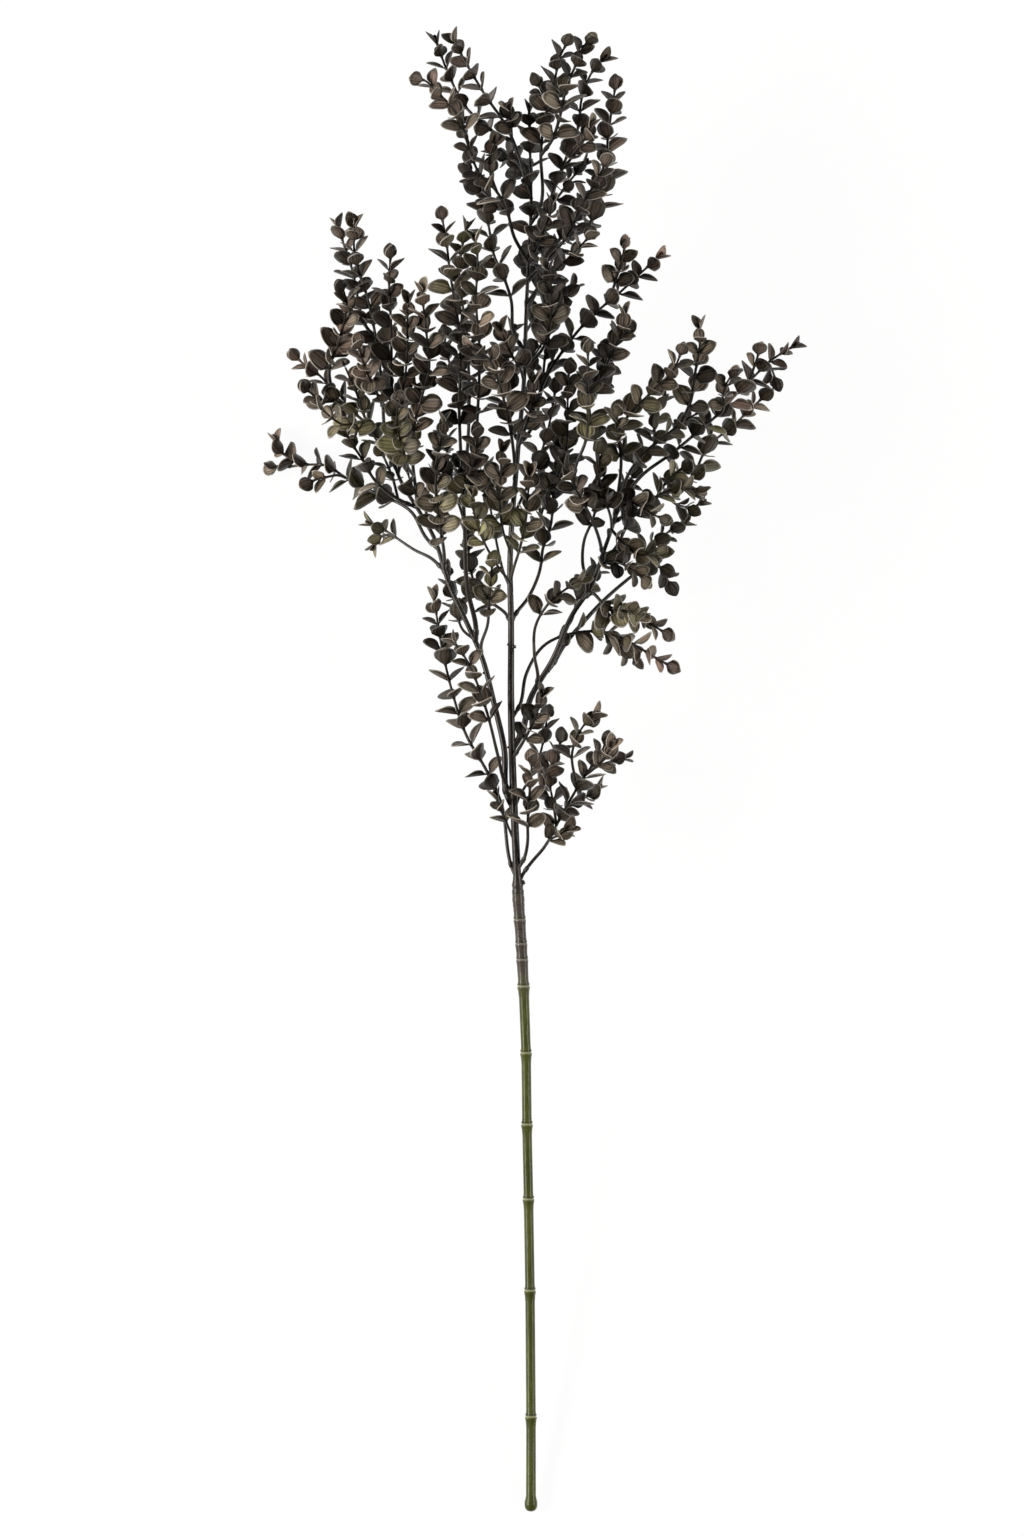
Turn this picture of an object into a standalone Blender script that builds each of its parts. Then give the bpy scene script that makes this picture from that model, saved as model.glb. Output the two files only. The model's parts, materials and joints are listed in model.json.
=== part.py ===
"""An artificial small-leaf eucalyptus branch, lying on its side.

A ringed cane carries a leader and four side stems. Each leafy twig is pushed on a peg of the stem that
it grows from, and its leaves stand in opposite pairs, each pair turned a quarter from the one below.
Lengths are millimetres until a mesh is made. X is across the branch, Y runs from the cane's foot to the
crown's tip, and Z is the height above the surface that the branch lies on.
"""

import math
import random
from dataclasses import dataclass, field

import bmesh
import bpy
import numpy as np
from mathutils import Matrix, Vector
from mathutils.bvhtree import BVHTree

MM = 0.001
MIDDLE_X = 2.0  # the middle of the branch's box, measured from the cane's foot
MIDDLE_Y = 445.0

CANE_RADIUS = 3.2
CANE_RISE = 0.1275  # the cane's slope: its foot lies on the surface, the crown props up the other end
CANE_LINE = [(0, 0), (0, 57), (-0.6, 133), (-1.5, 188), (-2.4, 233), (-3, 277), (-4.8, 323), (-7.8, 372)]
CANE_LENGTH = 372.0  # along Y
FOOT_RADIUS = 3.9
FOOT_PROFILE = ((0.0, 2.6), (1.2, 3.6), (3.0, FOOT_RADIUS), (6.0, FOOT_RADIUS), (8.0, CANE_RADIUS))
RING_PLACES = (57, 133, 188, 233, 276, 316, 332, 341.5, 356)
RING_BEAD = 0.6  # how far a ring stands out
RING_GROOVE = 0.25
RING_REACH = 1.1  # from a ring's middle to each of its two beads
CANE_SIDES = 8

SAMPLE_STEP = 2.0  # between two samples of a stem's axis
FEWEST_SAMPLES = 4
TIP_SAMPLES = 2  # a leafy stem ends this far before its route, where its last leaves reach
STEM_SIDES = 6
TWIG_SIDES = 4
BEND_TOLERANCE = 1.1  # how far a straight stretch of tube may stray from its stem's axis
TWIG_RADII = (1.15, 0.65)
SHORT_RADII = (0.95, 0.6)
ROOT_BELOW = 4.0  # a stem leaves its parent this far below the place next to its route's first point,
ROOT_BELOW_SHARE = 0.9  # and lower by this share of that point's distance from the parent
CLIMB_POWER = 1.5  # how early a stem's climb levels out
PEG_CLEARANCE = 0.7  # a peg ends where its twig is this far clear of the parent
PEG_GAP = 0.3
SHORTEST_PEG = 2  # samples
STEM_CLEARANCE = 0.9
TRIAL_STEP = 4.0  # between the heights tried when a stem is bent clear of the others
TRIAL_STEPS = 6  # each way
CANE_TOP_SAMPLES = 3  # the cane's last samples, beside which the lowest twigs may pass
FAR_AWAY = 99.0

LEAF_AT_TIP = 9.0
LEAF_AT_BASE = 13.6
LEAF_GROWS_OVER = 45.0
PAIR_GAP_AT_TIP = 7.0
PAIR_GAP_AT_BASE = 10.0
PAIR_GAP_SPREAD = (0.9, 1.1)
BARE_AT_TIP = 1.5
BARE_PAST_PEG = 3.0
LEAF_WIDTH = 0.76  # of its length
LEAF_THICKNESS = 0.62
BLADE_OUTLINE = ((0.47, 0.5), (1.0, 0.24))  # along the blade from its pointed root, and half-breadths
BLADE_FACES = ((0, 2, 1), (1, 2, 4), (1, 4, 3))
LEAF_ROOT_DEPTH = 0.12  # a blade's root lies this far from the axis of its stem
LEAF_MARGIN = 0.35
LEAF_TRIES = 14
LEAF_TURNS_UP = 0.25  # how far a blade's upper face turns away from the surface below
LEAF_REACH = 0.6  # from a blade's middle to its furthest corner, as a share of its length

# Angles in radians. A spread is allowed at the first try, and a stray is added to it by the last.
OPEN_END_PAIR = 0.5  # between the stem and the blades of its last pair
OPEN_AT_TIP = 0.85
OPEN_AT_BASE = 1.15
OPEN_SPREAD = 0.15
OPEN_STRAY = 0.5
TURN_SPREAD = 0.2  # around the stem
TURN_STRAY = 1.2
START_SPREAD = 0.35
TURN_DRIFT = 0.25  # from one pair to the next
TWIST_SPREAD = 0.5  # around the blade's own length
SIZE_SPREAD = (0.88, 1.12)
SIZE_STRAY = 0.3
WIDTH_SPREAD = (0.88, 1.15)
CURL_RANGE = (0.02, 0.14)
PRESSED_LEVEL = 0.7  # a blade this level may be pressed flat on the surface,
PRESSED_DEPTH = 5.0  # if it would reach no further below it

SOLID_PAIRS = 5  # of the pairs from the tip down, the first of every so many is solid
OLIVE_TWIGS = (
    "twig_19", "twig_21", "twig_22", "twig_27", "twig_32", "twig_33", "twig_35", "twig_36", "twig_39",
)
DUSTY_TWIGS = ("twig_11", "twig_14", "twig_15", "twig_18", "twig_20", "twig_37", "twig_38", "twig_45")
SEED = 7
FLAT_ANGLE = math.radians(1.0)
SHARP_ANGLE = math.radians(65.0)


@dataclass
class Stem:
    """One stem: its route in plan, its tip's height, and the share of its length that is bare."""

    name: str
    parent: str
    route: list
    tip: float
    radii: tuple = TWIG_RADII
    bare: float = 0.3
    bulge: float = 0.0
    moulded: bool = False  # moulded in one with its parent, so it has no peg and no node of its own
    fine: bool = False  # planned, but too fine to be a solid
    line: np.ndarray = None
    peg_end: int = 0
    node: str = ""
    leaves: list = field(default_factory=list)

    def radius(self, share):
        return self.radii[0] + (self.radii[1] - self.radii[0]) * share


@dataclass
class Leaf:
    """One blade: its root, the way it points, the way its upper face looks, and its size."""

    root: np.ndarray
    along: np.ndarray
    face: np.ndarray
    length: float
    width: float
    curl: float
    out: np.ndarray  # from the stem's axis towards the blade
    distance: float  # along the stem
    pair: int  # counted from the tip down


def main_stems():
    """The leader and the four forks, which carry the crown."""
    leader = [
        (-9, 398), (-10.8, 440), (-12, 488), (-12, 537), (-12.6, 566), (-7.8, 638),
        (-4.2, 680), (-3, 716), (-1.2, 758), (0, 782), (-0.6, 818), (-1.2, 845),
    ]
    left_outer = [
        (-14, 430), (-16, 458), (-22, 485), (-30, 515), (-38, 533), (-49, 557),
        (-59, 587), (-67, 601), (-77, 617), (-86, 641),
    ]
    left_inner = [(-33, 530), (-38, 554), (-40, 596), (-42, 632)]
    right_outer = [
        (-6, 467), (-0.6, 488), (13, 512), (26, 541), (35, 554), (44, 578), (52, 602), (55, 614),
    ]
    right_inner = [(12, 508), (20, 521), (31, 534), (42, 546), (59, 561), (71, 570)]
    return [
        Stem("leader", "cane", leader, 93, (2.5, 0.7), 0.84, bulge=8),
        Stem("left_stem_outer", "leader", left_outer, 54, (2.0, 1.0), 1.0),
        Stem("left_stem_inner", "left_stem_outer", left_inner, 94, (1.6, 0.9), 0.75),
        Stem("right_stem_outer", "leader", right_outer, 74, (2.0, 1.0), 1.0),
        Stem("right_stem_inner", "right_stem_outer", right_inner, 44, (1.6, 0.9), 1.0),
    ]


def top_twigs():
    """The twigs of the crown's narrow top."""
    return [
        Stem(
            "twig_01", "leader",
            [(-9.6, 764), (-16, 785), (-22, 794), (-31, 803), (-37, 818), (-43, 836)],
            120,
        ),
        Stem(
            "twig_02", "leader",
            [(-2.4, 797), (-7, 813), (-14, 830), (-28, 851), (-37, 866), (-48, 886)],
            100,
        ),
        Stem(
            "twig_03", "twig_02",
            [(-22, 828), (-31, 835), (-39, 843), (-49, 862), (-58, 886)],
            76, bare=0.2,
        ),
        Stem(
            "twig_04", "twig_01",
            [(-38, 822), (-46, 841), (-56, 851), (-63, 858), (-70, 860)],
            138, bare=0.15,
        ),
        Stem(
            "twig_05", "leader",
            [(4.2, 780), (6, 818), (7.2, 830), (14, 857), (17, 872), (23, 884)],
            110, bare=0.4,
        ),
        Stem(
            "twig_06", "twig_05",
            [(13, 824), (17, 836), (22, 857), (26, 866), (31, 878), (37, 884)],
            130, bare=0.2,
        ),
        Stem(
            "twig_07", "leader",
            [(6, 775), (15, 797), (22, 815), (28, 830), (31, 851), (41, 870), (46, 874)],
            78,
        ),
        Stem(
            "twig_08", "twig_09",
            [(33, 770), (40, 784), (45, 803), (46, 824), (49, 845), (51, 859)],
            58, bare=0.15,
        ),
        Stem("twig_09", "leader", [(13, 755), (22, 766), (31, 785), (40, 800), (46, 812)], 122),
        Stem(
            "twig_10", "leader",
            [(-10, 707), (-12, 728), (-17, 743), (-22, 754), (-25, 770), (-28, 786), (-31, 800)],
            58,
        ),
        Stem("side_02", "twig_02", [(-12, 832), (-14, 845)], 122, SHORT_RADII, 0.3, moulded=True),
    ]


def left_twigs():
    """The twigs of the crown's left side."""
    return [
        Stem(
            "twig_11", "left_stem_inner",
            [(-43, 660), (-43, 710), (-46, 728), (-48, 740), (-51, 764), (-54, 780)],
            124,
        ),
        Stem(
            "twig_12", "left_stem_inner",
            [(-38, 640), (-37, 668), (-39, 710), (-43, 746), (-41, 761), (-38, 774)],
            92,
        ),
        Stem(
            "twig_13", "left_stem_inner",
            [(-36, 620), (-32, 660), (-31, 700), (-33, 728), (-32, 752), (-34, 767)],
            148,
        ),
        Stem(
            "twig_14", "left_stem_outer",
            [(-88, 652), (-89, 668), (-92, 698), (-97, 725), (-106, 757), (-106, 776)],
            74,
        ),
        Stem(
            "twig_15", "twig_14",
            [(-99, 712), (-105, 734), (-107, 745), (-111, 757), (-117, 776)],
            44, bare=0.15,
        ),
        Stem(
            "twig_16", "twig_18",
            [(-121, 687), (-116, 701), (-112, 715), (-111, 729), (-115, 737)],
            92, bare=0.15,
        ),
        Stem(
            "twig_17", "left_stem_outer",
            [(-78, 633), (-81, 648), (-83, 668), (-84, 716), (-85, 734), (-84, 757)],
            108,
        ),
        Stem(
            "twig_18", "left_stem_outer",
            [(-95, 650), (-107, 661), (-118, 671), (-125, 681), (-136, 689), (-143, 696)],
            36, bare=0.2,
        ),
        Stem(
            "twig_19", "left_stem_outer",
            [(-69, 613), (-71, 632), (-70, 652), (-65, 671), (-61, 686), (-62, 701), (-66, 736)],
            136,
        ),
        Stem(
            "twig_20", "left_stem_outer",
            [
                (-62, 584), (-72, 601), (-95, 613), (-109, 620),
                (-124, 629), (-138, 630), (-149, 636), (-155, 647),
            ],
            7, bare=0.35,
        ),
        Stem(
            "twig_21", "left_stem_outer",
            [(-79, 608), (-94, 620), (-101, 632), (-109, 644), (-115, 658)],
            66,
        ),
        Stem(
            "twig_22", "left_stem_outer",
            [(-60, 573), (-70, 578), (-79, 584), (-88, 590), (-99, 595)],
            24, bare=0.6,
        ),
        Stem(
            "twig_23", "leader",
            [(-11, 386), (-18.6, 428), (-27, 446), (-39, 467), (-46, 488), (-52, 512), (-59, 553)],
            40,
        ),
        Stem(
            "twig_24", "leader",
            [(-15.6, 438), (-20, 455), (-26, 479), (-32, 497), (-37, 509), (-48, 525)],
            92, bare=0.45,
        ),
        Stem("twig_25", "left_stem_outer", [(-30, 520), (-26, 533), (-25, 548), (-23, 572)], 118, bare=0.6),
        Stem("twig_26", "leader", [(-14, 538), (-26, 548), (-32, 554), (-37, 572), (-38, 590)], 34),
        Stem("twig_27", "left_stem_outer", [(-52, 572), (-55, 596), (-57, 620), (-55, 641)], 128),
        Stem(
            "twig_28", "leader",
            [(-9.6, 620), (-11, 641), (-15, 662), (-20, 680), (-26, 693), (-40, 700)],
            152,
        ),
        Stem("twig_29", "leader", [(-11, 650), (-14, 674), (-16, 695), (-9.6, 713)], 46),
        Stem("side_20", "twig_20", [(-148, 628), (-158, 629)], 5, SHORT_RADII, 0.2, moulded=True),
    ]


def right_twigs():
    """The twigs of the crown's right side and of its middle."""
    return [
        Stem(
            "twig_30", "leader",
            [(-10, 538), (-1.8, 549), (5.4, 566), (7.2, 579), (12, 593), (13, 608), (17, 644)],
            50,
        ),
        Stem(
            "twig_31", "right_stem_outer",
            [(4, 500), (2, 515), (3, 533), (11, 546), (22, 555), (32, 562)],
            112, bare=0.6,
        ),
        Stem(
            "twig_32", "leader",
            [(-6.6, 485), (-3, 503), (8.4, 521), (26, 528), (47, 528), (62, 521), (75, 513), (86, 507)],
            60, bare=0.45,
        ),
        Stem("twig_33", "right_stem_outer", [(36, 552), (44, 545), (58, 540), (74, 532), (83, 526)], 98),
        Stem("twig_34", "right_stem_outer", [(40, 587), (33, 603), (25, 618), (20, 631)], 128, bare=0.5),
        Stem(
            "twig_35", "right_stem_outer",
            [(34, 556), (31, 569), (32, 584), (37, 596), (40, 608), (41, 626)],
            106, bare=0.5,
        ),
        Stem("twig_36", "right_stem_outer", [(60, 626), (68, 636), (79, 645), (92, 655), (104, 662)], 96),
        Stem("twig_37", "twig_36", [(96, 668), (98, 682), (101, 700), (101, 715)], 122, bare=0.2),
        Stem(
            "twig_38", "right_stem_outer",
            [
                (65, 621), (86, 637), (98, 647), (115, 662), (122, 670),
                (133, 681), (142, 690), (152, 697), (161, 702),
            ],
            46,
        ),
        Stem(
            "twig_39", "right_stem_outer",
            [(65, 605), (83, 613), (95, 620), (107, 641), (122, 653), (131, 662), (142, 672)],
            7,
        ),
        Stem(
            "twig_40", "right_stem_outer",
            [(54, 632), (53, 650), (61, 661), (68, 668), (77, 677), (85, 685), (91, 699)],
            132,
        ),
        Stem(
            "twig_41", "right_stem_outer",
            [(50, 578), (58, 593), (65, 602), (74, 609), (85, 614), (104, 614)],
            72,
        ),
        Stem("twig_42", "right_stem_inner", [(68, 575), (80, 587), (94, 596)], 12, bare=0.2),
        Stem("twig_43", "right_stem_outer", [(47, 590), (55, 582), (65, 575), (80, 577)], 104),
        Stem("twig_44", "right_stem_inner", [(72, 571), (78, 567), (84, 556)], 6, bare=0.2),
        Stem(
            "twig_45", "leader",
            [(-2, 655), (10, 683), (19, 697), (29, 710), (41, 722), (53, 732), (66, 744), (79, 756)],
            70,
        ),
        Stem(
            "twig_46", "twig_35",
            [(40, 630), (38, 646), (35, 668), (44, 686), (47, 701), (60, 712)],
            88,
        ),
        Stem("twig_47", "twig_34", [(26, 625), (33, 644), (34, 666), (34, 700)], 146),
        Stem("twig_48", "leader", [(8, 700), (12, 718), (12, 735), (10, 750)], 138),
        Stem("twig_49", "leader", [(0, 650), (6, 672), (9, 698), (16, 727)], 62),
        Stem(
            "side_30", "twig_30",
            [(6, 596), (5.4, 614), (4.2, 632)],
            24, SHORT_RADII, 0.25, moulded=True,
        ),
        Stem("side_38", "twig_38", [(134, 688), (138, 700)], 62, SHORT_RADII, 0.2, moulded=True),
        Stem("side_45", "twig_45", [(50, 737), (54, 750), (57, 763)], 92, SHORT_RADII, 0.2, moulded=True),
    ]


def low_twigs():
    """The short sprays just above the cane's top."""
    return [
        Stem(
            "twig_50", "leader",
            [(-5, 383), (0, 390), (8.4, 400), (17, 416), (29, 437), (41, 455), (47, 465)],
            62,
        ),
        Stem("twig_51", "leader", [(-4, 393), (-2, 403), (-2, 412), (-1, 430), (1, 455)], 82),
        Stem("twig_52", "leader", [(-4, 464), (2, 476), (8, 494)], 100, bare=0.35),
        Stem("side_50a", "twig_50", [(45, 450), (59, 454)], 40, SHORT_RADII, 0.3, moulded=True),
        Stem(
            "side_50b", "twig_50",
            [(25, 458), (32, 473), (41, 481)],
            88, SHORT_RADII, 0.3, moulded=True,
        ),
        Stem("side_50c", "twig_50", [(13, 428), (9, 446)], 34, SHORT_RADII, 0.3, moulded=True),
    ]


def side_twigs():
    """The side twigs that fill the crown, each moulded in one with the stem that it grows from."""
    return [
        Stem(
            "side_61", "twig_02",
            [(-8.4, 810), (-17, 813), (-25, 818)],
            84, SHORT_RADII, 0.2, moulded=True, fine=True,
        ),
        Stem(
            "side_62", "twig_01",
            [(-23, 799), (-25, 809), (-23, 818), (-20, 825)],
            138, SHORT_RADII, 0.2, moulded=True, fine=True,
        ),
        Stem(
            "side_63", "leader",
            [(8.4, 751), (17, 764), (26, 775), (33, 785), (40, 797)],
            52, SHORT_RADII, 0.25, moulded=True,
        ),
        Stem(
            "side_64", "twig_07",
            [(15, 788), (21, 796), (28, 805), (34, 812)],
            66, SHORT_RADII, 0.2, moulded=True, fine=True,
        ),
        Stem(
            "side_65", "leader",
            [(6, 737), (15, 745), (23, 753), (31, 761), (37, 767)],
            124, SHORT_RADII, 0.25, moulded=True,
        ),
        Stem(
            "side_66", "leader",
            [(1.2, 728), (6, 740), (9, 753), (10.8, 764)],
            60, SHORT_RADII, 0.25, moulded=True,
        ),
        Stem(
            "side_67", "twig_46",
            [(45, 688), (50, 699), (55, 710), (56, 722)],
            120, SHORT_RADII, 0.15, moulded=True,
        ),
        Stem(
            "side_68", "twig_46",
            [(37, 669), (41, 679), (45, 687), (48, 695)],
            50, SHORT_RADII, 0.15, moulded=True,
        ),
        Stem(
            "side_69", "twig_14",
            [(-91, 669), (-97, 681), (-101, 692), (-104, 703)],
            116, SHORT_RADII, 0.15, moulded=True,
        ),
        Stem(
            "side_70", "twig_18",
            [(-101, 661), (-105, 673), (-109, 682), (-113, 691)],
            62, SHORT_RADII, 0.15, moulded=True, fine=True,
        ),
        Stem(
            "side_71", "twig_18",
            [(-116, 667), (-124, 667), (-131, 671), (-137, 677)],
            60, SHORT_RADII, 0.15, moulded=True, fine=True,
        ),
        Stem(
            "side_72", "twig_21",
            [(-105, 653), (-113, 653), (-122, 659), (-128, 665)],
            96, SHORT_RADII, 0.2, moulded=True,
        ),
        Stem(
            "side_73", "twig_19",
            [(-73, 626), (-77, 639), (-80, 653), (-80, 667)],
            152, SHORT_RADII, 0.2, moulded=True,
        ),
        Stem(
            "side_74", "twig_21",
            [(-83, 621), (-88, 633), (-93, 644), (-98, 653)],
            40, SHORT_RADII, 0.2, moulded=True,
        ),
        Stem(
            "side_75", "twig_27",
            [(-57, 620), (-56, 634), (-53, 646), (-52, 658)],
            146, SHORT_RADII, 0.2, moulded=True,
        ),
        Stem(
            "side_76", "left_stem_inner",
            [(-40, 593), (-45, 611), (-49, 628), (-51, 644), (-51, 656)],
            46, SHORT_RADII, 0.35, moulded=True,
        ),
        Stem(
            "side_77", "twig_17",
            [(-79, 644), (-74, 657), (-70, 668), (-68, 677)],
            84, SHORT_RADII, 0.2, moulded=True, fine=True,
        ),
        Stem(
            "side_78", "leader",
            [(-11.4, 548), (-17, 566), (-21, 584), (-24, 601), (-26, 616), (-26, 631)],
            54, SHORT_RADII, 0.45, moulded=True,
        ),
        Stem(
            "side_79", "leader",
            [(-12, 572), (-17, 590), (-19, 608), (-18, 626), (-17, 641)],
            128, SHORT_RADII, 0.3, moulded=True,
        ),
        Stem(
            "side_80", "left_stem_inner",
            [(-41, 608), (-37, 621), (-33, 635), (-32, 649)],
            142, SHORT_RADII, 0.2, moulded=True,
        ),
        Stem(
            "side_81", "leader",
            [(-11.4, 596), (-19, 609), (-26, 617), (-32, 623)],
            100, SHORT_RADII, 0.3, moulded=True, fine=True,
        ),
        Stem(
            "side_82", "leader",
            [(-11.4, 554), (-20, 568), (-27, 580), (-32, 592), (-35, 604), (-36, 614)],
            132, SHORT_RADII, 0.5, moulded=True,
        ),
        Stem(
            "side_83", "leader",
            [(-11.4, 563), (-6.6, 579), (-3, 596), (-1.8, 611), (-0.6, 627)],
            120, SHORT_RADII, 0.3, moulded=True,
        ),
        Stem(
            "side_84", "leader",
            [(-9, 601), (-1.8, 617), (5.4, 634), (10.2, 650), (13.2, 665), (15, 677)],
            44, SHORT_RADII, 0.3, moulded=True,
        ),
        Stem(
            "side_85", "leader",
            [(-6, 644), (-1.8, 656), (1.2, 669), (1.8, 682)],
            136, SHORT_RADII, 0.2, moulded=True,
        ),
        Stem(
            "side_86", "twig_30",
            [(6, 596), (10.2, 610), (15, 623), (19, 637)],
            40, SHORT_RADII, 0.2, moulded=True,
        ),
        Stem(
            "side_87", "twig_40",
            [(55, 637), (52, 646), (51, 656), (52, 663)],
            120, SHORT_RADII, 0.15, moulded=True, fine=True,
        ),
        Stem(
            "side_88", "twig_36",
            [(73, 640), (74, 652), (77, 663), (82, 671)],
            60, SHORT_RADII, 0.15, moulded=True, fine=True,
        ),
        Stem(
            "side_89", "twig_39",
            [(79, 611), (88, 605), (98, 604), (105, 608)],
            30, SHORT_RADII, 0.15, moulded=True, fine=True,
        ),
        Stem(
            "side_90", "twig_39",
            [(73, 608), (80, 617), (88, 625), (95, 629)],
            66, SHORT_RADII, 0.15, moulded=True, fine=True,
        ),
        Stem(
            "side_91", "twig_38",
            [(115, 661), (115, 670), (118, 679), (123, 685)],
            84, SHORT_RADII, 0.15, moulded=True, fine=True,
        ),
        Stem(
            "side_92", "right_stem_outer",
            [(41, 568), (47, 571), (55, 569), (63, 564), (70, 557)],
            100, SHORT_RADII, 0.15, moulded=True,
        ),
        Stem(
            "side_93", "right_stem_outer",
            [(24, 535), (28, 549), (37, 563), (45, 574)],
            34, SHORT_RADII, 0.35, moulded=True,
        ),
        Stem(
            "side_94", "twig_51",
            [(2.4, 428), (9, 442), (15, 454), (19, 467)],
            56, SHORT_RADII, 0.2, moulded=True,
        ),
        Stem(
            "side_95", "twig_50",
            [(19, 421), (27, 426), (35, 431), (42, 437)],
            28, SHORT_RADII, 0.2, moulded=True, fine=True,
        ),
        Stem(
            "side_96", "twig_50",
            [(10.2, 403), (17, 407), (25, 412)],
            74, SHORT_RADII, 0.3, moulded=True, fine=True,
        ),
        Stem(
            "side_97", "twig_20",
            [(-115, 623), (-122, 622), (-130, 620), (-136, 617)],
            22, SHORT_RADII, 0.2, moulded=True, fine=True,
        ),
        Stem(
            "side_98", "leader",
            [(-9, 398), (-13.8, 412), (-19, 424), (-22, 433)],
            60, SHORT_RADII, 0.3, moulded=True, fine=True,
        ),
        Stem(
            "side_99", "twig_30",
            [(9, 608), (16, 622), (21, 639), (22, 656), (22, 673), (23, 688)],
            108, SHORT_RADII, 0.15, moulded=True,
        ),
        Stem(
            "side_100", "twig_17",
            [(-83, 653), (-78, 668), (-75, 685), (-74, 701), (-74, 717), (-73, 730)],
            128, SHORT_RADII, 0.15, moulded=True,
        ),
        Stem(
            "side_101", "left_stem_outer",
            [(-41, 530), (-45, 543), (-48, 555), (-50, 567)],
            30, SHORT_RADII, 0.3, moulded=True,
        ),
        Stem(
            "side_102", "twig_01",
            [(-19, 784), (-26, 790), (-34, 797), (-40, 807)],
            84, SHORT_RADII, 0.2, moulded=True, fine=True,
        ),
        Stem(
            "side_103", "twig_07",
            [(23, 811), (29, 819), (34, 827), (38, 835)],
            110, SHORT_RADII, 0.2, moulded=True, fine=True,
        ),
        Stem(
            "side_104", "twig_05",
            [(9.6, 845), (6, 853), (3, 860)],
            88, SHORT_RADII, 0.15, moulded=True, fine=True,
        ),
        Stem(
            "side_105", "leader",
            [(4.2, 719), (12.6, 725), (21, 731), (27, 739)],
            34, SHORT_RADII, 0.25, moulded=True,
        ),
        Stem(
            "side_106", "twig_36",
            [(63, 627), (58, 634), (54, 641)],
            66, SHORT_RADII, 0.1, moulded=True, fine=True,
        ),
        Stem(
            "side_107", "twig_41",
            [(58, 607), (67, 603), (75, 598), (82, 596)],
            104, SHORT_RADII, 0.2, moulded=True,
        ),
        Stem(
            "side_108", "right_stem_outer",
            [(50, 601), (55, 614), (61, 622), (65, 631)],
            36, SHORT_RADII, 0.3, moulded=True,
        ),
        Stem(
            "side_109", "twig_38",
            [(142, 689), (146, 683), (147, 677)],
            30, SHORT_RADII, 0.15, moulded=True, fine=True,
        ),
        Stem(
            "side_110", "twig_12",
            [(-38, 668), (-47, 685), (-51, 698), (-52, 710)],
            56, SHORT_RADII, 0.2, moulded=True,
        ),
        Stem(
            "side_111", "twig_33",
            [(49, 541), (58, 541), (67, 537)],
            122, SHORT_RADII, 0.2, moulded=True, fine=True,
        ),
        Stem(
            "side_112", "twig_32",
            [(41, 529), (50, 524), (58, 517), (65, 509)],
            26, SHORT_RADII, 0.2, moulded=True,
        ),
        Stem(
            "side_113", "twig_22",
            [(-88, 587), (-92, 584), (-96, 578)],
            14, SHORT_RADII, 0.2, moulded=True, fine=True,
        ),
        Stem(
            "side_114", "right_stem_outer",
            [(48, 596), (44, 609), (41, 620), (40, 631), (41, 640)],
            110, SHORT_RADII, 0.35, moulded=True,
        ),
        Stem(
            "side_115", "leader",
            [(-7.8, 428), (0, 442), (5.4, 455), (8.4, 469), (10.2, 482)],
            36, SHORT_RADII, 0.35, moulded=True,
        ),
        Stem(
            "side_116", "left_stem_outer",
            [(-63, 601), (-69, 611), (-73, 621), (-75, 629)],
            74, SHORT_RADII, 0.3, moulded=True, fine=True,
        ),
        Stem(
            "side_117", "twig_50",
            [(37, 446), (44, 453), (50, 463)],
            84, SHORT_RADII, 0.3, moulded=True, fine=True,
        ),
        Stem(
            "side_118", "leader",
            [(-6, 685), (-11.4, 694), (-16, 704), (-19, 713)],
            130, SHORT_RADII, 0.2, moulded=True,
        ),
        Stem(
            "side_119", "leader",
            [(-4.2, 704), (0.6, 694), (6, 701), (8.4, 711)],
            60, SHORT_RADII, 0.35, moulded=True,
        ),
        Stem(
            "side_120", "leader",
            [(3, 758), (7.8, 769), (11.4, 779), (12.6, 789)],
            134, SHORT_RADII, 0.2, moulded=True,
        ),
        Stem(
            "side_121", "leader",
            [(-1.8, 746), (1.8, 758), (4.2, 769)],
            36, SHORT_RADII, 0.3, moulded=True,
        ),
        Stem(
            "side_122", "leader",
            [(-0.6, 794), (-5.4, 805), (-10.2, 813), (-12.6, 821)],
            50, SHORT_RADII, 0.25, moulded=True,
        ),
    ]


def smooth_line(points):
    """A smooth curve through the points, sampled at an even step."""
    points = np.array(points, float)
    gaps = np.linalg.norm(np.diff(points, axis=0), axis=1)
    knots = np.concatenate(([0.0], np.cumsum(gaps)))
    slopes = np.gradient(points, knots, axis=0)
    places = np.linspace(0, knots[-1], max(FEWEST_SAMPLES, round(knots[-1] / SAMPLE_STEP)))
    index = np.clip(np.searchsorted(knots, places, side="right") - 1, 0, len(gaps) - 1)
    gap = gaps[index][:, None]
    t = (places[:, None] - knots[index][:, None]) / gap
    start, end = points[index], points[index + 1]
    rise = t * t * (3 - 2 * t)
    leave = t * (1 - t) ** 2
    arrive = t * t * (t - 1)
    return start + (end - start) * rise + (slopes[index] * leave + slopes[index + 1] * arrive) * gap


def lengths_along(line):
    """The distance of each sample from the line's start."""
    return np.concatenate(([0.0], np.cumsum(np.linalg.norm(np.diff(line, axis=0), axis=1))))


def point_at(line, distance):
    """The point at a distance along the line, and the line's direction there."""
    lengths = lengths_along(line)
    distance = min(max(distance, 0.0), lengths[-1])
    point = np.array([np.interp(distance, lengths, line[:, axis]) for axis in range(3)])
    index = min(max(int(np.searchsorted(lengths, distance)), 1), len(line) - 1)
    direction = line[index] - line[index - 1]
    return point, direction / np.linalg.norm(direction)


def cane_line():
    """The cane's axis, which rises evenly from the foot."""
    return smooth_line([(x, y, FOOT_RADIUS + CANE_RISE * y) for x, y in CANE_LINE])


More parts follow.
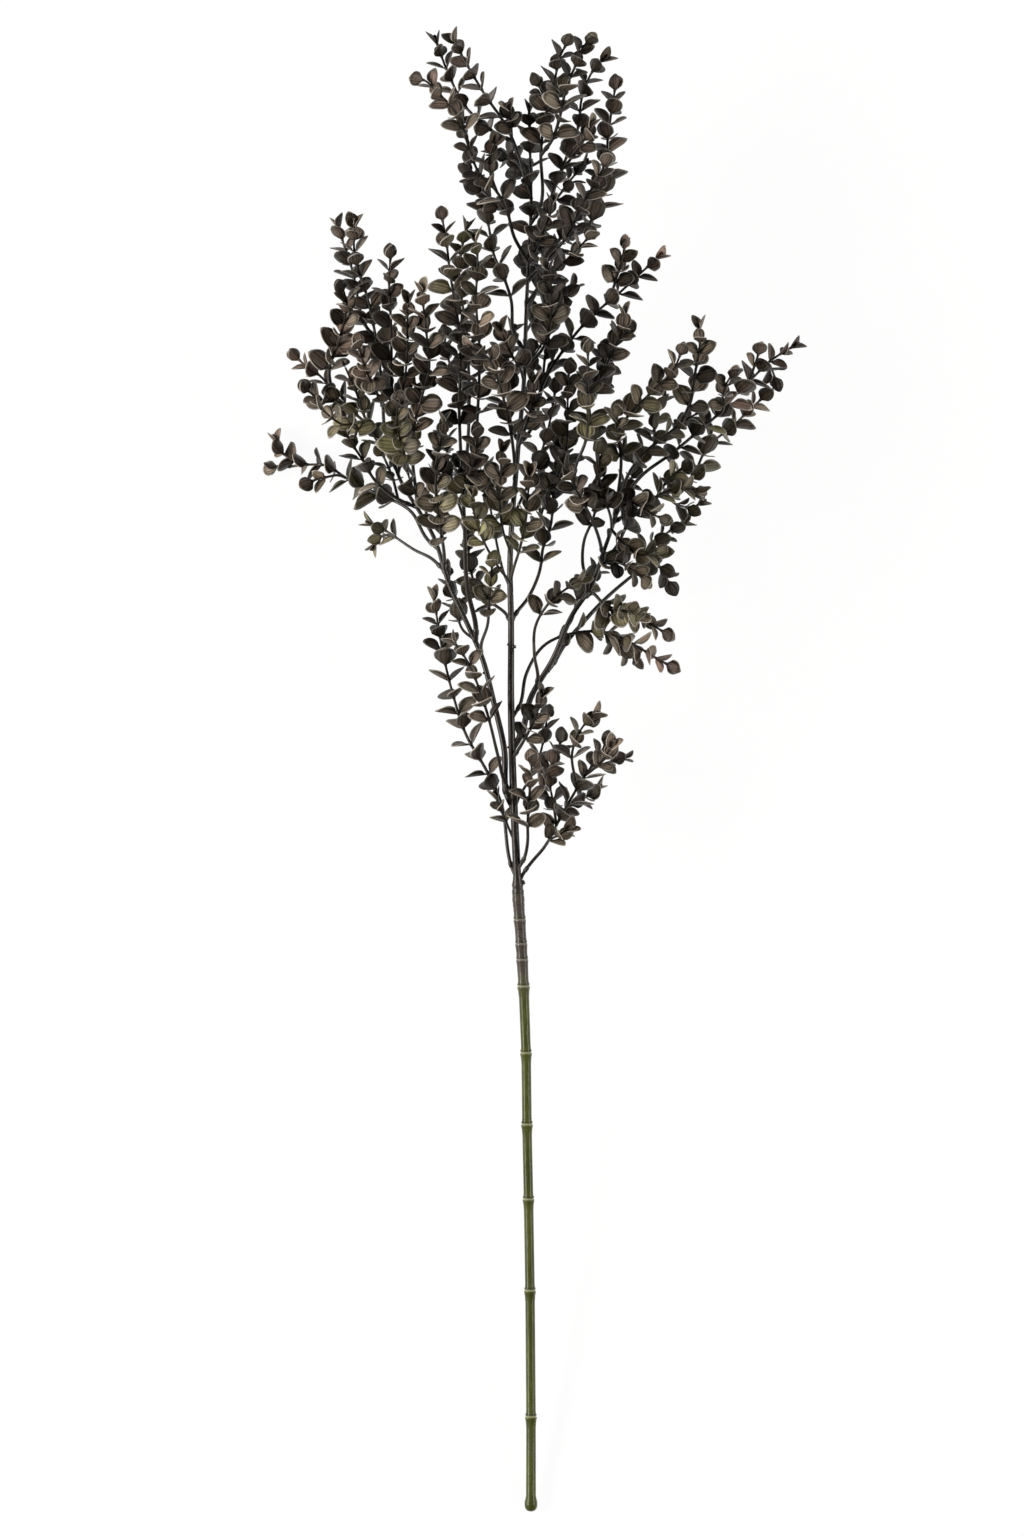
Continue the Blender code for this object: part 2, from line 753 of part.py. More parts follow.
def root_on(parent_line, first):
    """Where a stem leaves its parent's axis: a little below the place next to its route's first point."""
    spread = np.linalg.norm(parent_line[:, :2] - np.array(first), axis=1)
    nearest = int(np.argmin(spread))
    below = ROOT_BELOW + ROOT_BELOW_SHARE * spread[nearest]
    return point_at(parent_line, lengths_along(parent_line)[nearest] - below)[0]


def raised_line(stem, root, sway, lift):
    """The stem's axis: its route in plan, with heights that climb fast at first and then level out."""
    plan = np.array([root[:2], *stem.route], float)
    steps = np.linalg.norm(np.diff(plan, axis=0), axis=1)
    share = np.minimum(np.concatenate(([0.0], np.cumsum(steps))) / steps.sum(), 1.0)
    climb = 1 - (1 - share) ** CLIMB_POWER
    arch = np.sin(math.pi * share)
    heights = root[2] + (stem.tip + lift - root[2]) * climb + (stem.bulge + sway) * arch
    line = smooth_line(np.column_stack([plan, heights]))
    return line[:-TIP_SAMPLES] if stem.bare < 1.0 else line


def distances(points, others):
    """The distance of each point from each other point."""
    return np.linalg.norm(points[:, None, :] - others[None, :, :], axis=2)


def peg_length(line, radii, parent):
    """How many samples run inside or too near the parent, whose node holds them as a peg."""
    apart = distances(line, parent.line)
    parent_radii = parent.radius(np.linspace(0, 1, len(parent.line)))
    gaps = (apart - parent_radii[None, :]).min(axis=1) - radii
    clear = gaps >= PEG_CLEARANCE
    first = int(np.argmax(clear)) if clear.any() else len(line) - 1
    return max(first, SHORTEST_PEG)


class Taken:
    """The samples of the stems that are already placed, with their radii and nodes."""

    def __init__(self):
        self.points = np.zeros((0, 3))
        self.radii = np.zeros(0)
        self.nodes = np.zeros(0, dtype="U24")

    def add(self, points, radii, nodes):
        self.points = np.vstack([self.points, points])
        self.radii = np.concatenate([self.radii, radii])
        self.nodes = np.concatenate([self.nodes, nodes])

    def nearest(self, points, radii, nodes):
        """The smallest gap to a stem of another node."""
        gaps = distances(points, self.points) - radii[:, None] - self.radii[None, :]
        gaps[nodes[:, None] == self.nodes[None, :]] = FAR_AWAY
        return gaps.min()


def trial_offsets():
    """Heights to try, the smallest first: a sway in the stem's middle and a lift at its tip."""
    values = [TRIAL_STEP * k for k in range(-TRIAL_STEPS, TRIAL_STEPS + 1)]
    pairs = [(sway, lift) for sway in values for lift in values]
    return sorted(pairs, key=lambda pair: (abs(pair[0]) + abs(pair[1]), pair))


def place_leader(leader, taken):
    """The leader stands on the cane's top, in line with it."""
    leader.line = raised_line(leader, cane_line()[-1], 0, 0)
    leader.node = leader.name
    radii = leader.radius(np.linspace(0, 1, len(leader.line)))
    taken.add(leader.line, radii, np.full(len(leader.line), leader.node))


def place_stem(stem, parent, taken):
    """Gives the stem its axis, bent clear of every stem of another node."""
    root = root_on(parent.line, stem.route[0])
    stem.node = parent.node if stem.moulded else stem.name
    best = None
    for sway, lift in trial_offsets():
        line = raised_line(stem, root, sway, lift)
        radii = stem.radius(np.linspace(0, 1, len(line)))
        peg = peg_length(line, radii, parent)
        nodes = np.where(np.arange(len(line)) <= peg, parent.node, stem.node)
        gap = taken.nearest(line, radii, nodes)
        low = (line[:, 2] - radii).min()
        score = min(gap, low)
        if best is None or score > best[0]:
            best = (score, line, radii, peg, nodes)
        if score >= STEM_CLEARANCE:
            break
    _, stem.line, radii, stem.peg_end, nodes = best
    taken.add(stem.line, radii, nodes)


def plan_stems():
    """All stems with their axes, by name, parents before the stems that grow from them."""
    waiting = main_stems() + low_twigs() + top_twigs() + left_twigs() + right_twigs() + side_twigs()
    stems = {}
    taken = Taken()
    below_top = cane_line()[:-CANE_TOP_SAMPLES]
    taken.add(below_top, np.full(len(below_top), FOOT_RADIUS), np.full(len(below_top), "cane"))
    while waiting:
        stem = next(s for s in waiting if s.parent in stems or s.parent == "cane")
        waiting.remove(stem)
        if stem.parent == "cane":
            place_leader(stem, taken)
        else:
            place_stem(stem, stems[stem.parent], taken)
        stems[stem.name] = stem
    return stems


def ring_frame(point, direction):
    """The place of a tube's cross-section: its Z axis runs along the tube, and its X axis is level."""
    side = np.cross(direction, (0, 0, 1.0))
    side /= np.linalg.norm(side)
    over = np.cross(direction, side)
    return Matrix([*np.column_stack([side, over, direction, point]), (0, 0, 0, 1)])


def tube(stations, sides):
    """A closed tube through its stations, each a point, the tube's direction there and its radius."""
    body = bmesh.new()
    previous = []
    for point, direction, radius in stations:
        place = ring_frame(point, direction)
        bmesh.ops.create_circle(body, segments=sides, radius=radius, matrix=place)
        body.edges.ensure_lookup_table()
        ring = body.edges[-sides:]
        if previous:
            bmesh.ops.bridge_loops(body, edges=previous + ring)
        previous = ring
    bmesh.ops.holes_fill(body, edges=body.edges[:])
    bmesh.ops.recalc_face_normals(body, faces=body.faces[:])
    return body


def bend_places(line, start, end):
    """Distances along the line, near enough together for straight stretches to follow its bends."""
    first, last = point_at(line, start)[0], point_at(line, end)[0]
    chord = (last - first) / (end - start)
    places = np.arange(start + SAMPLE_STEP, end, SAMPLE_STEP)
    strays = [np.linalg.norm(point_at(line, d)[0] - first - chord * (d - start)) for d in places]
    if not len(places) or max(strays) < BEND_TOLERANCE:
        return [start, end]
    middle = places[int(np.argmax(strays))]
    return bend_places(line, start, middle)[:-1] + bend_places(line, middle, end)


def stem_tube(stem, places, sides, grow=0.0):
    """The tube of a stretch of the stem, with a ring at each of the places along its axis."""
    length = lengths_along(stem.line)[-1]
    stations = [(*point_at(stem.line, place), stem.radius(place / length) + grow) for place in places]
    return tube(stations, sides)


def tube_centre(stem, places, distance):
    """The middle of the stem's tube, whose stretches are straight, at a distance along the stem."""
    centres = np.array([point_at(stem.line, place)[0] for place in places])
    return np.array([np.interp(distance, places, centres[:, axis]) for axis in range(3)])


def blade(leaf, root, grow=0.0):
    """A thin closed blade from the root. It lies flat where it would reach below the surface."""
    across = np.cross(leaf.along, leaf.face)
    points = [root]
    for reach, half in BLADE_OUTLINE:
        bend = leaf.face * leaf.curl * leaf.length * reach * reach
        middle = leaf.root + leaf.along * reach * (leaf.length + grow) + bend
        side = across * (half * leaf.width + grow)
        points += [middle - side, middle + side]
    lift = leaf.face * (LEAF_THICKNESS / 2 + grow)
    body = bmesh.new()
    for x, y, z in points:
        body.verts.new(Vector((x, y, max(z, abs(lift[2])))) + Vector(lift))
    body.verts.ensure_lookup_table()
    faces = [body.faces.new([body.verts[k] for k in face]) for face in BLADE_FACES]
    lower = bmesh.ops.extrude_face_region(body, geom=faces, use_keep_orig=True)["geom"]
    moved = [item for item in lower if isinstance(item, bmesh.types.BMVert)]
    bmesh.ops.translate(body, verts=moved, vec=-2 * lift)
    bmesh.ops.recalc_face_normals(body, faces=body.faces[:])
    return body


class Room:
    """What a new leaf must not cross: the stems of other nodes, and every leaf placed before it."""

    def __init__(self, stems):
        self.corners, self.faces, self.owners = [], [], []
        self.take("cane", cane_tube(LEAF_MARGIN))
        for stem in stems.values():
            peg = lengths_along(stem.line)[stem.peg_end]
            free = bend_places(stem.line, peg, lengths_along(stem.line)[-1])
            self.take(stem.node, stem_tube(stem, free, STEM_SIDES, LEAF_MARGIN))
            if stem.peg_end:
                holder = stems[stem.parent].node
                self.take(holder, stem_tube(stem, (0, peg), STEM_SIDES, LEAF_MARGIN))
        self.stem_tree = BVHTree.FromPolygons(self.corners, self.faces)
        self.centres = np.zeros((0, 3))
        self.reaches = np.zeros(0)
        self.trees = []

    def take(self, node, body):
        """Adds a stretch of tube to the node's share of the stems."""
        base = len(self.corners)
        body.verts.index_update()
        self.corners += [vert.co.copy() for vert in body.verts]
        self.faces += [[vert.index + base for vert in face.verts] for face in body.faces]
        self.owners += [node] * len(body.faces)
        body.free()

    def fits(self, leaf, node, partner):
        """The leaf's search tree if it is clear of all but its partner across the stem, or nothing."""
        body = blade(leaf, leaf.root, LEAF_MARGIN)
        tree = BVHTree.FromBMesh(body)
        body.free()
        if any(self.owners[hit[1]] != node for hit in tree.overlap(self.stem_tree)):
            return None
        centre = leaf.root + leaf.along * leaf.length / 2
        near = np.linalg.norm(self.centres - centre, axis=1) < self.reaches + leaf.length * LEAF_REACH
        if any(k != partner and tree.overlap(self.trees[k]) for k in np.nonzero(near)[0]):
            return None
        return tree

    def add(self, leaf, tree):
        self.centres = np.vstack([self.centres, leaf.root + leaf.along * leaf.length / 2])
        self.reaches = np.append(self.reaches, leaf.length * LEAF_REACH)
        self.trees.append(tree)


def spread(draw, width):
    """A number that is at most the width away from nought."""
    return draw.uniform(-width, width)


def try_leaf(stem, distance, turn, size, open_angle, pair, draw, attempt):
    """One trial blade at a place on the stem. Later attempts stray further from the rule."""
    stray = attempt / LEAF_TRIES
    point, direction = point_at(stem.line, distance)
    side = np.cross(direction, (0, 0, 1.0))
    side /= np.linalg.norm(side)
    over = np.cross(side, direction)
    turn += spread(draw, TURN_SPREAD) + spread(draw, TURN_STRAY) * stray
    open_angle += spread(draw, OPEN_SPREAD) + spread(draw, OPEN_STRAY) * stray
    out = math.cos(turn) * side + math.sin(turn) * over
    along = math.cos(open_angle) * direction + math.sin(open_angle) * out
    face = math.sin(open_angle) * direction - math.cos(open_angle) * out
    face[2] += LEAF_TURNS_UP
    face -= along * np.dot(face, along)
    face /= np.linalg.norm(face)
    twist = spread(draw, TWIST_SPREAD) * (1 + stray)
    face = math.cos(twist) * face + math.sin(twist) * np.cross(along, face)
    size *= draw.uniform(*SIZE_SPREAD) * (1 - SIZE_STRAY * stray)
    root = point + out * LEAF_ROOT_DEPTH
    width = size * LEAF_WIDTH * draw.uniform(*WIDTH_SPREAD)
    return Leaf(root, along, face, size, width, draw.uniform(*CURL_RANGE), out, distance, pair)


def rests_well(leaf):
    """A blade that would reach below the surface is kept only where it can lie flat on it."""
    across = np.cross(leaf.along, leaf.face)
    end = leaf.root + leaf.along * leaf.length + leaf.face * leaf.curl * leaf.length
    lowest = min(end[2], leaf.root[2]) - abs(across[2]) * leaf.width / 2 - LEAF_THICKNESS / 2
    return lowest >= 0 or (abs(leaf.face[2]) > PRESSED_LEVEL and lowest > -PRESSED_DEPTH)


def grow_pair(stem, room, distance, turn, pair, draw):
    """Two blades across the stem from each other, each at the first try that has room."""
    grown = share_grown(stem, distance)
    size = LEAF_AT_TIP + (LEAF_AT_BASE - LEAF_AT_TIP) * grown
    open_angle = OPEN_AT_TIP + (OPEN_AT_BASE - OPEN_AT_TIP) * grown if pair else OPEN_END_PAIR
    partner = None
    for half_turn in (0, math.pi):
        for attempt in range(LEAF_TRIES):
            leaf = try_leaf(stem, distance, turn + half_turn, size, open_angle, pair, draw, attempt)
            tree = room.fits(leaf, stem.node, partner) if rests_well(leaf) else None
            if tree is not None:
                partner = len(room.trees)
                room.add(leaf, tree)
                stem.leaves.append(leaf)
                break


def share_grown(stem, distance):
    """Nought at the stem's tip, and one where its leaves have their full size."""
    from_tip = lengths_along(stem.line)[-1] - distance
    return min(1.0, from_tip / LEAF_GROWS_OVER)


def grow_leaves(stem, room):
    """Opposite pairs from the tip down, each turned a quarter from the last."""
    draw = random.Random(f"{SEED} {stem.name}")
    lengths = lengths_along(stem.line)
    lowest = max(stem.bare * lengths[-1], lengths[stem.peg_end] + BARE_PAST_PEG)
    distance = lengths[-1] - BARE_AT_TIP
    start = draw.choice((0, math.pi / 2)) + spread(draw, START_SPREAD)
    pair = 0
    while distance > lowest:
        turn = start + pair * math.pi / 2 + spread(draw, TURN_DRIFT)
        grow_pair(stem, room, distance, turn, pair, draw)
        gap = PAIR_GAP_AT_TIP + (PAIR_GAP_AT_BASE - PAIR_GAP_AT_TIP) * share_grown(stem, distance)
        distance -= gap * draw.uniform(*PAIR_GAP_SPREAD)
        pair += 1


def cane_profile():
    """Distances along the cane with the radius at each: foot, rings with two beads, and the top."""
    profile = list(FOOT_PROFILE)
    for place in RING_PLACES:
        profile += [
            (place - 2 * RING_REACH, CANE_RADIUS),
            (place - RING_REACH, CANE_RADIUS + RING_BEAD),
            (place, CANE_RADIUS + RING_GROOVE),
            (place + RING_REACH, CANE_RADIUS + RING_BEAD),
            (place + 2 * RING_REACH, CANE_RADIUS),
        ]
    return profile + [(CANE_LENGTH, CANE_RADIUS)]


def cane_tube(grow=0.0):
    """The cane's body. Its rings are placed by their distance up the branch."""
    line = cane_line()
    stretch = lengths_along(line)[-1] / CANE_LENGTH
    stations = [(*point_at(line, place * stretch), radius + grow) for place, radius in cane_profile()]
    return tube(stations, CANE_SIDES)


def make_object(name, body, collection=None):
    """An object of the body's mesh, in metres, with the branch's middle over the origin."""
    body.transform(Matrix.Scale(MM, 4) @ Matrix.Translation((-MIDDLE_X, -MIDDLE_Y, 0)))
    mesh = bpy.data.meshes.new(name)
    body.to_mesh(mesh)
    body.free()
    piece = bpy.data.objects.new(name, mesh)
    (collection or bpy.context.scene.collection).objects.link(piece)
    return piece


def fuse(base, repeats):
    """Joins a collection of repeats to the base in one Boolean union, and removes the repeats."""
    union = base.modifiers.new("fused_repeats", "BOOLEAN")
    union.operation = "UNION"
    union.operand_type = "COLLECTION"
    union.collection = repeats
    union.solver = "EXACT"
    bpy.context.view_layer.objects.active = base
    with bpy.context.temp_override(object=base, active_object=base):
        bpy.ops.object.modifier_apply(modifier=union.name)
    for piece in list(repeats.objects):
        bpy.data.objects.remove(piece, do_unlink=True)
    bpy.data.collections.remove(repeats)
    merge_flat_faces(base.data)


def merge_flat_faces(mesh):
    """Joins the slivers that a union leaves in one flat face, and cuts what is left into triangles."""
    work = bmesh.new()
    work.from_mesh(mesh)
    bmesh.ops.dissolve_limit(work, angle_limit=FLAT_ANGLE, verts=work.verts, edges=work.edges)
    bmesh.ops.triangulate(work, faces=work.faces)
    work.to_mesh(mesh)
    work.free()


def finish_object(piece, surface):
    """Gives the piece its material, and smooth shading on its round sides."""
    piece.data.materials.append(surface)
    piece.data.shade_smooth()
    piece.data.set_sharp_from_angle(angle=SHARP_ANGLE)


def material(name, colour, roughness):
    """A Principled material from a linear colour."""
    surface = bpy.data.materials.new(name)
    surface.use_nodes = True
    shader = surface.node_tree.nodes["Principled BSDF"]
    shader.inputs["Base Color"].default_value = (*colour, 1.0)
    shader.inputs["Roughness"].default_value = roughness
    shader.inputs["Metallic"].default_value = 0.0
    return surface


def is_fork(stem):
    """The leader and the forks are thicker than any twig."""
    return stem.radii[0] > TWIG_RADII[0]


def sides_of(stem):
    return STEM_SIDES if is_fork(stem) else TWIG_SIDES


def finish_of(stem):
    """Which finish a node has: the forks are bare, and some twigs are tinted."""
    if is_fork(stem):
        return "stem"
    if stem.name in OLIVE_TWIGS:
        return "olive"
    return "dusty" if stem.name in DUSTY_TWIGS else "dark"


def solid_leaves(stem, places, repeats):
    """The stem's blades that are solids, each rooted in the middle of the stem's tube."""
    for leaf in stem.leaves:
        if leaf.pair % SOLID_PAIRS == 0:
            root = tube_centre(stem, places, leaf.distance) + leaf.out * LEAF_ROOT_DEPTH
            make_object("leaf", blade(leaf, root), repeats)


def build_node(name, stems, surface):
    """One node: its own tube, its side twigs, its leaves and the pegs of the twigs pushed on it."""
    own = stems[name]
    start = PEG_GAP + lengths_along(own.line)[own.peg_end]
    places = bend_places(own.line, start, lengths_along(own.line)[-1])
    base = make_object(name, stem_tube(own, places, sides_of(own)))
    repeats = bpy.data.collections.new(f"{name}_repeats")
    bpy.context.scene.collection.children.link(repeats)
    solid_leaves(own, places, repeats)
    for stem in stems.values():
        if stem.fine:
            continue
        if stem.moulded and stem.node == name:
            places = bend_places(stem.line, 0, lengths_along(stem.line)[-1])
            make_object(stem.name, stem_tube(stem, places, TWIG_SIDES), repeats)
            solid_leaves(stem, places, repeats)
        elif stem.parent in stems and stems[stem.parent].node == name:
            peg_end = lengths_along(stem.line)[stem.peg_end]
            make_object("peg", stem_tube(stem, (0, peg_end), sides_of(stem)), repeats)
    fuse(base, repeats)
    finish_object(base, surface)


def main():
    for old in list(bpy.data.objects):
        bpy.data.objects.remove(old, do_unlink=True)
    stems = plan_stems()
    room = Room(stems)
    for stem in stems.values():
        if stem.bare < 1.0:
            grow_leaves(stem, room)
    finishes = {
        "cane": material("cane_plastic", (0.09, 0.12, 0.03), 0.45),
        "stem": material("stem_plastic", (0.04, 0.032, 0.028), 0.7),
        "dark": material("leaf_dark", (0.045, 0.037, 0.034), 0.62),
        "olive": material("leaf_olive", (0.085, 0.085, 0.045), 0.62),
        "dusty": material("leaf_dusty", (0.13, 0.088, 0.078), 0.62),
    }
    finish_object(make_object("cane", cane_tube()), finishes["cane"])
    for name, stem in stems.items():
        if not stem.moulded:
            build_node(name, stems, finishes[finish_of(stem)])


main()
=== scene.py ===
"""A small-leaf eucalyptus branch lying on a pale floor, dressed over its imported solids.

The first half plans the branch by the same rules and numbers as its solids, so that a leaf here lies in
the place of every solid leaf. The second half gives it its looks: cupped leaves with veins, jointed stems,
a ringed cane and their plastics. The plan is in millimetres, with X across the branch, Y up it from the
cane's foot and Z above the floor. Meshes are in metres, with the branch's middle over the origin.
"""

import json
import math
import random
from dataclasses import dataclass, field

import bmesh
import bpy
import numpy as np
from mathutils import Matrix, Vector
from mathutils.bvhtree import BVHTree

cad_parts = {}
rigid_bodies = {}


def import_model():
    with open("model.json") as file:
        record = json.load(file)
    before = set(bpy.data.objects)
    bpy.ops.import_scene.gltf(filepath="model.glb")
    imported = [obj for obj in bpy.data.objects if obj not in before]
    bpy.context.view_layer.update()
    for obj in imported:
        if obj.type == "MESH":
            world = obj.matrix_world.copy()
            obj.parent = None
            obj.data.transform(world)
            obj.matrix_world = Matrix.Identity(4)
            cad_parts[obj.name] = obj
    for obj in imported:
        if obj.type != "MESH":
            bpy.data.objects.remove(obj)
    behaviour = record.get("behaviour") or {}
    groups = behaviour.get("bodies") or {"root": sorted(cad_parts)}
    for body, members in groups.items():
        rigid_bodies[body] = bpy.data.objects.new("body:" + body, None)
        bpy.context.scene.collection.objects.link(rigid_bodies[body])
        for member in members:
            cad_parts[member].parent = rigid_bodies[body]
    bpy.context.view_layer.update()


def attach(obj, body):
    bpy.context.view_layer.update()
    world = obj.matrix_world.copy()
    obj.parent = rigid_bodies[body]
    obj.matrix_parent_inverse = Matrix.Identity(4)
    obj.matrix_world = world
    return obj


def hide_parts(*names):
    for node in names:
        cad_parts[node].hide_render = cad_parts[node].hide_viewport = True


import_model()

MM = 0.001
MIDDLE_X = 2.0  # the middle of the branch's box, measured from the cane's foot
MIDDLE_Y = 445.0

CANE_RADIUS = 3.2
CANE_RISE = 0.1275  # the cane's slope: its foot lies on the surface, the crown props up the other end
CANE_LINE = [(0, 0), (0, 57), (-0.6, 133), (-1.5, 188), (-2.4, 233), (-3, 277), (-4.8, 323), (-7.8, 372)]
CANE_LENGTH = 372.0  # along Y
FOOT_RADIUS = 3.9
FOOT_PROFILE = ((0.0, 2.6), (1.2, 3.6), (3.0, FOOT_RADIUS), (6.0, FOOT_RADIUS), (8.0, CANE_RADIUS))
RING_PLACES = (57, 133, 188, 233, 276, 316, 332, 341.5, 356)
RING_BEAD = 0.6  # how far a ring stands out
RING_GROOVE = 0.25
RING_REACH = 1.1  # from a ring's middle to each of its two beads
CANE_SIDES = 8

SAMPLE_STEP = 2.0  # between two samples of a stem's axis
FEWEST_SAMPLES = 4
TIP_SAMPLES = 2  # a leafy stem ends this far before its route, where its last leaves reach
STEM_SIDES = 6
BEND_TOLERANCE = 1.1  # how far a straight stretch of tube may stray from its stem's axis
TWIG_RADII = (1.15, 0.65)
SHORT_RADII = (0.95, 0.6)
ROOT_BELOW = 4.0  # a stem leaves its parent this far below the place next to its route's first point,
ROOT_BELOW_SHARE = 0.9  # and lower by this share of that point's distance from the parent
CLIMB_POWER = 1.5  # how early a stem's climb levels out
PEG_CLEARANCE = 0.7  # a peg ends where its twig is this far clear of the parent
SHORTEST_PEG = 2  # samples
STEM_CLEARANCE = 0.9
TRIAL_STEP = 4.0  # between the heights tried when a stem is bent clear of the others
TRIAL_STEPS = 6  # each way
CANE_TOP_SAMPLES = 3  # the cane's last samples, beside which the lowest twigs may pass
FAR_AWAY = 99.0

LEAF_AT_TIP = 9.0
LEAF_AT_BASE = 13.6
LEAF_GROWS_OVER = 45.0
PAIR_GAP_AT_TIP = 7.0
PAIR_GAP_AT_BASE = 10.0
PAIR_GAP_SPREAD = (0.9, 1.1)
BARE_AT_TIP = 1.5
BARE_PAST_PEG = 3.0
LEAF_WIDTH = 0.76  # of its length
LEAF_THICKNESS = 0.62
BLADE_OUTLINE = ((0.47, 0.5), (1.0, 0.24))  # along the blade from its pointed root, and half-breadths
BLADE_FACES = ((0, 2, 1), (1, 2, 4), (1, 4, 3))
LEAF_ROOT_DEPTH = 0.12  # a blade's root lies this far from the axis of its stem
LEAF_MARGIN = 0.35
LEAF_TRIES = 14
LEAF_TURNS_UP = 0.25  # how far a blade's upper face turns away from the surface below
LEAF_REACH = 0.6  # from a blade's middle to its furthest corner, as a share of its length

# Angles in radians. A spread is allowed at the first try, and a stray is added to it by the last.
OPEN_END_PAIR = 0.5  # between the stem and the blades of its last pair
OPEN_AT_TIP = 0.85
OPEN_AT_BASE = 1.15
OPEN_SPREAD = 0.15
OPEN_STRAY = 0.5
TURN_SPREAD = 0.2  # around the stem
TURN_STRAY = 1.2
START_SPREAD = 0.35
TURN_DRIFT = 0.25  # from one pair to the next
TWIST_SPREAD = 0.5  # around the blade's own length
SIZE_SPREAD = (0.88, 1.12)
SIZE_STRAY = 0.3
WIDTH_SPREAD = (0.88, 1.15)
CURL_RANGE = (0.02, 0.14)
PRESSED_LEVEL = 0.7  # a blade this level may be pressed flat on the surface,
PRESSED_DEPTH = 5.0  # if it would reach no further below it

SEED = 7

LEAF_COLUMNS = 4
LEAF_ROWS = 5
LEAF_SHEET = 0.042  # a leaf's thickness, as a share of its length
LEAF_BREADTH = 1.12  # rounded leaves are this much broader than the planned blades
TIP_ROW = 0.99  # only the last row of a leaf's corners lies past this, and is drawn out to its tip
FLAT_LEVEL = 0.5  # a leaf's edge faces stand steeper than this
ROOT_TAPER_ENDS = 0.3  # where along a leaf its narrow root has opened out
ROOT_BREADTH = 0.22
FLOOR_CLEARANCE = 0.12
LEAF_GLOSS = 0.22
STEM_GLOSS = 0.36
CANE_GLOSS = 0.26
COVER_REACH = 11.0  # a leaf covers, with painted shade, what lies this near its middle and
COVER_DEPTH = 3.0  # further than this below it
COVER_SHADE_SHARE = 0.5  # of the pale dust that each covering leaf keeps off, which paints shade under it
LEAF_PATTERNS = (  # how far the sides curl up, how sharply the blade is folded, how pointed its tip is
    (0.13, 0.05, 0.05),
    (0.2, 0.02, 0.13),
    (0.08, 0.1, 0.09),
)
BUD_LENGTH = 4.6
BUD_WIDTH = 3.0
BUD_OPEN = 0.2
BUD_CURL = 0.08

TUBE_STEP = 3.0
STEM_ROUNDNESS = 2  # a round of eight sides
FORK_ROUNDNESS = 4
NODE_SWELL = 0.34  # a stem thickens by this where a pair of leaves stands,
NODE_REACH = 1.3  # and this far to each side
NODE_PROFILE = ((-1.0, 0.0), (-0.5, 0.55), (0.0, 1.0), (0.5, 0.55), (1.0, 0.0))
STUB_CURVE = ((0.0, 0.9), (0.6, 0.8), (0.8, 1.0), (0.93, 0.95), (1.0, 0.6))
STUB_LEAN = 0.4  # along the stem, for each length away from it
COLLAR_SWELL = 0.34
COLLAR_LENGTH = 3.2
COLLAR_LIP = 0.5

FOOT_CURVE = (
    (0.0, 1.1), (0.35, 2.1), (1.0, 2.95), (2.0, 3.55), (3.4, 3.88), (5.8, 3.86), (7.4, 3.4), (9.4, 3.0),
)
CANE_GIRTH = ((0, 2.9), (276, 2.9), (300, 2.95), (318, 3.2), (334, 3.3), (350, 3.3), (358, 3.4), (372, 3.5))
FLARED_RING = (  # along the cane from a ring's groove, and how far the cane stands out there
    (-7.0, 0.0), (-3.2, 0.25), (-1.3, 0.6), (-0.6, 0.76), (-0.25, 0.68), (0.1, 0.3),
    (0.45, 0.12), (0.75, 0.5), (1.1, 0.66), (1.5, 0.4), (2.2, 0.12), (4.0, 0.0),
)
FLAT_RINGS_FROM = 320.0  # above this the rings are grooves with low lips
FLAT_RING_SHARE = 0.55
NECK_CURVE = (
    (358.5, 3.45), (360.0, 3.3), (361.6, 3.45), (363.2, 3.38), (364.6, 3.6), (366.0, 3.52), (367.4, 3.75),
    (369.2, 3.7), (370.4, 3.45), (371.2, 3.62),
)
NECK_STARTS = 357.6
CANE_ROUNDNESS = 10
HIGHLIGHT_BAND_MIDDLE = -0.1  # of the pale band in a ring, partly paler plastic and partly painted highlight, measured from its groove
LIP_PLACE = 0.85  # of the dark lip above the groove
RING_BAND = 0.5  # half the breadth of each
LEADER_COLLAR = (  # along the leader from the cane's top, and how much thicker it is there
    (0.0, 1.0), (1.0, 1.2), (2.0, 0.85), (3.4, 0.7), (4.4, 1.05), (5.6, 0.9), (7.5, 0.4), (11.0, 0.0),
)
STUBS = (  # stem, distance along it, turn around it, radius and length of the short cut-off shoots
    ("leader", 149.0, 0.3, 1.1, 3.0), ("leader", 150.5, 2.6, 0.8, 2.6), ("leader", 147.0, 1.2, 0.9, 2.9),
    ("leader", 5.0, 0.15, 1.5, 4.4), ("leader", 2.5, 1.0, 1.2, 3.4), ("left_stem_outer", 84.0, 2.8, 0.8, 2.4),
    ("leader", 88.0, 3.0, 0.7, 2.9), ("right_stem_outer", 52.0, 0.2, 0.7, 2.2),
)

OLIVE_SPOTS = (  # across, along, reach and strength of the places where leaves and stems are olive
    (-104, 656, 12, 1.0), (-83, 643, 13, 1.0), (-82, 632, 12, 0.8), (-37, 761, 11, 0.8), (-50, 740, 10, 0.6),
    (-43, 605, 13, 0.8), (-31, 590, 12, 0.9), (-13, 592, 12, 0.9), (-13, 574, 13, 0.9), (-25, 560, 10, 0.9),
    (8, 578, 8, 0.6), (38, 652, 14, 1.0), (50, 635, 13, 0.9), (74, 656, 13, 0.6), (83, 616, 11, 0.8),
    (95, 602, 11, 0.8), (104, 626, 9, 0.9), (110, 650, 8, 0.7), (77, 575, 12, 0.7), (56, 536, 11, 0.8),
    (41, 530, 10, 1.0), (35, 554, 11, 0.7), (0, 518, 9, 0.6), (23, 476, 9, 0.5), (44, 437, 8, 0.6),
    (-106, 596, 10, 0.7), (-94, 584, 9, 0.6), (65, 677, 8, 0.7), (23, 710, 8, 0.5), (-109, 614, 11, 0.6),
)
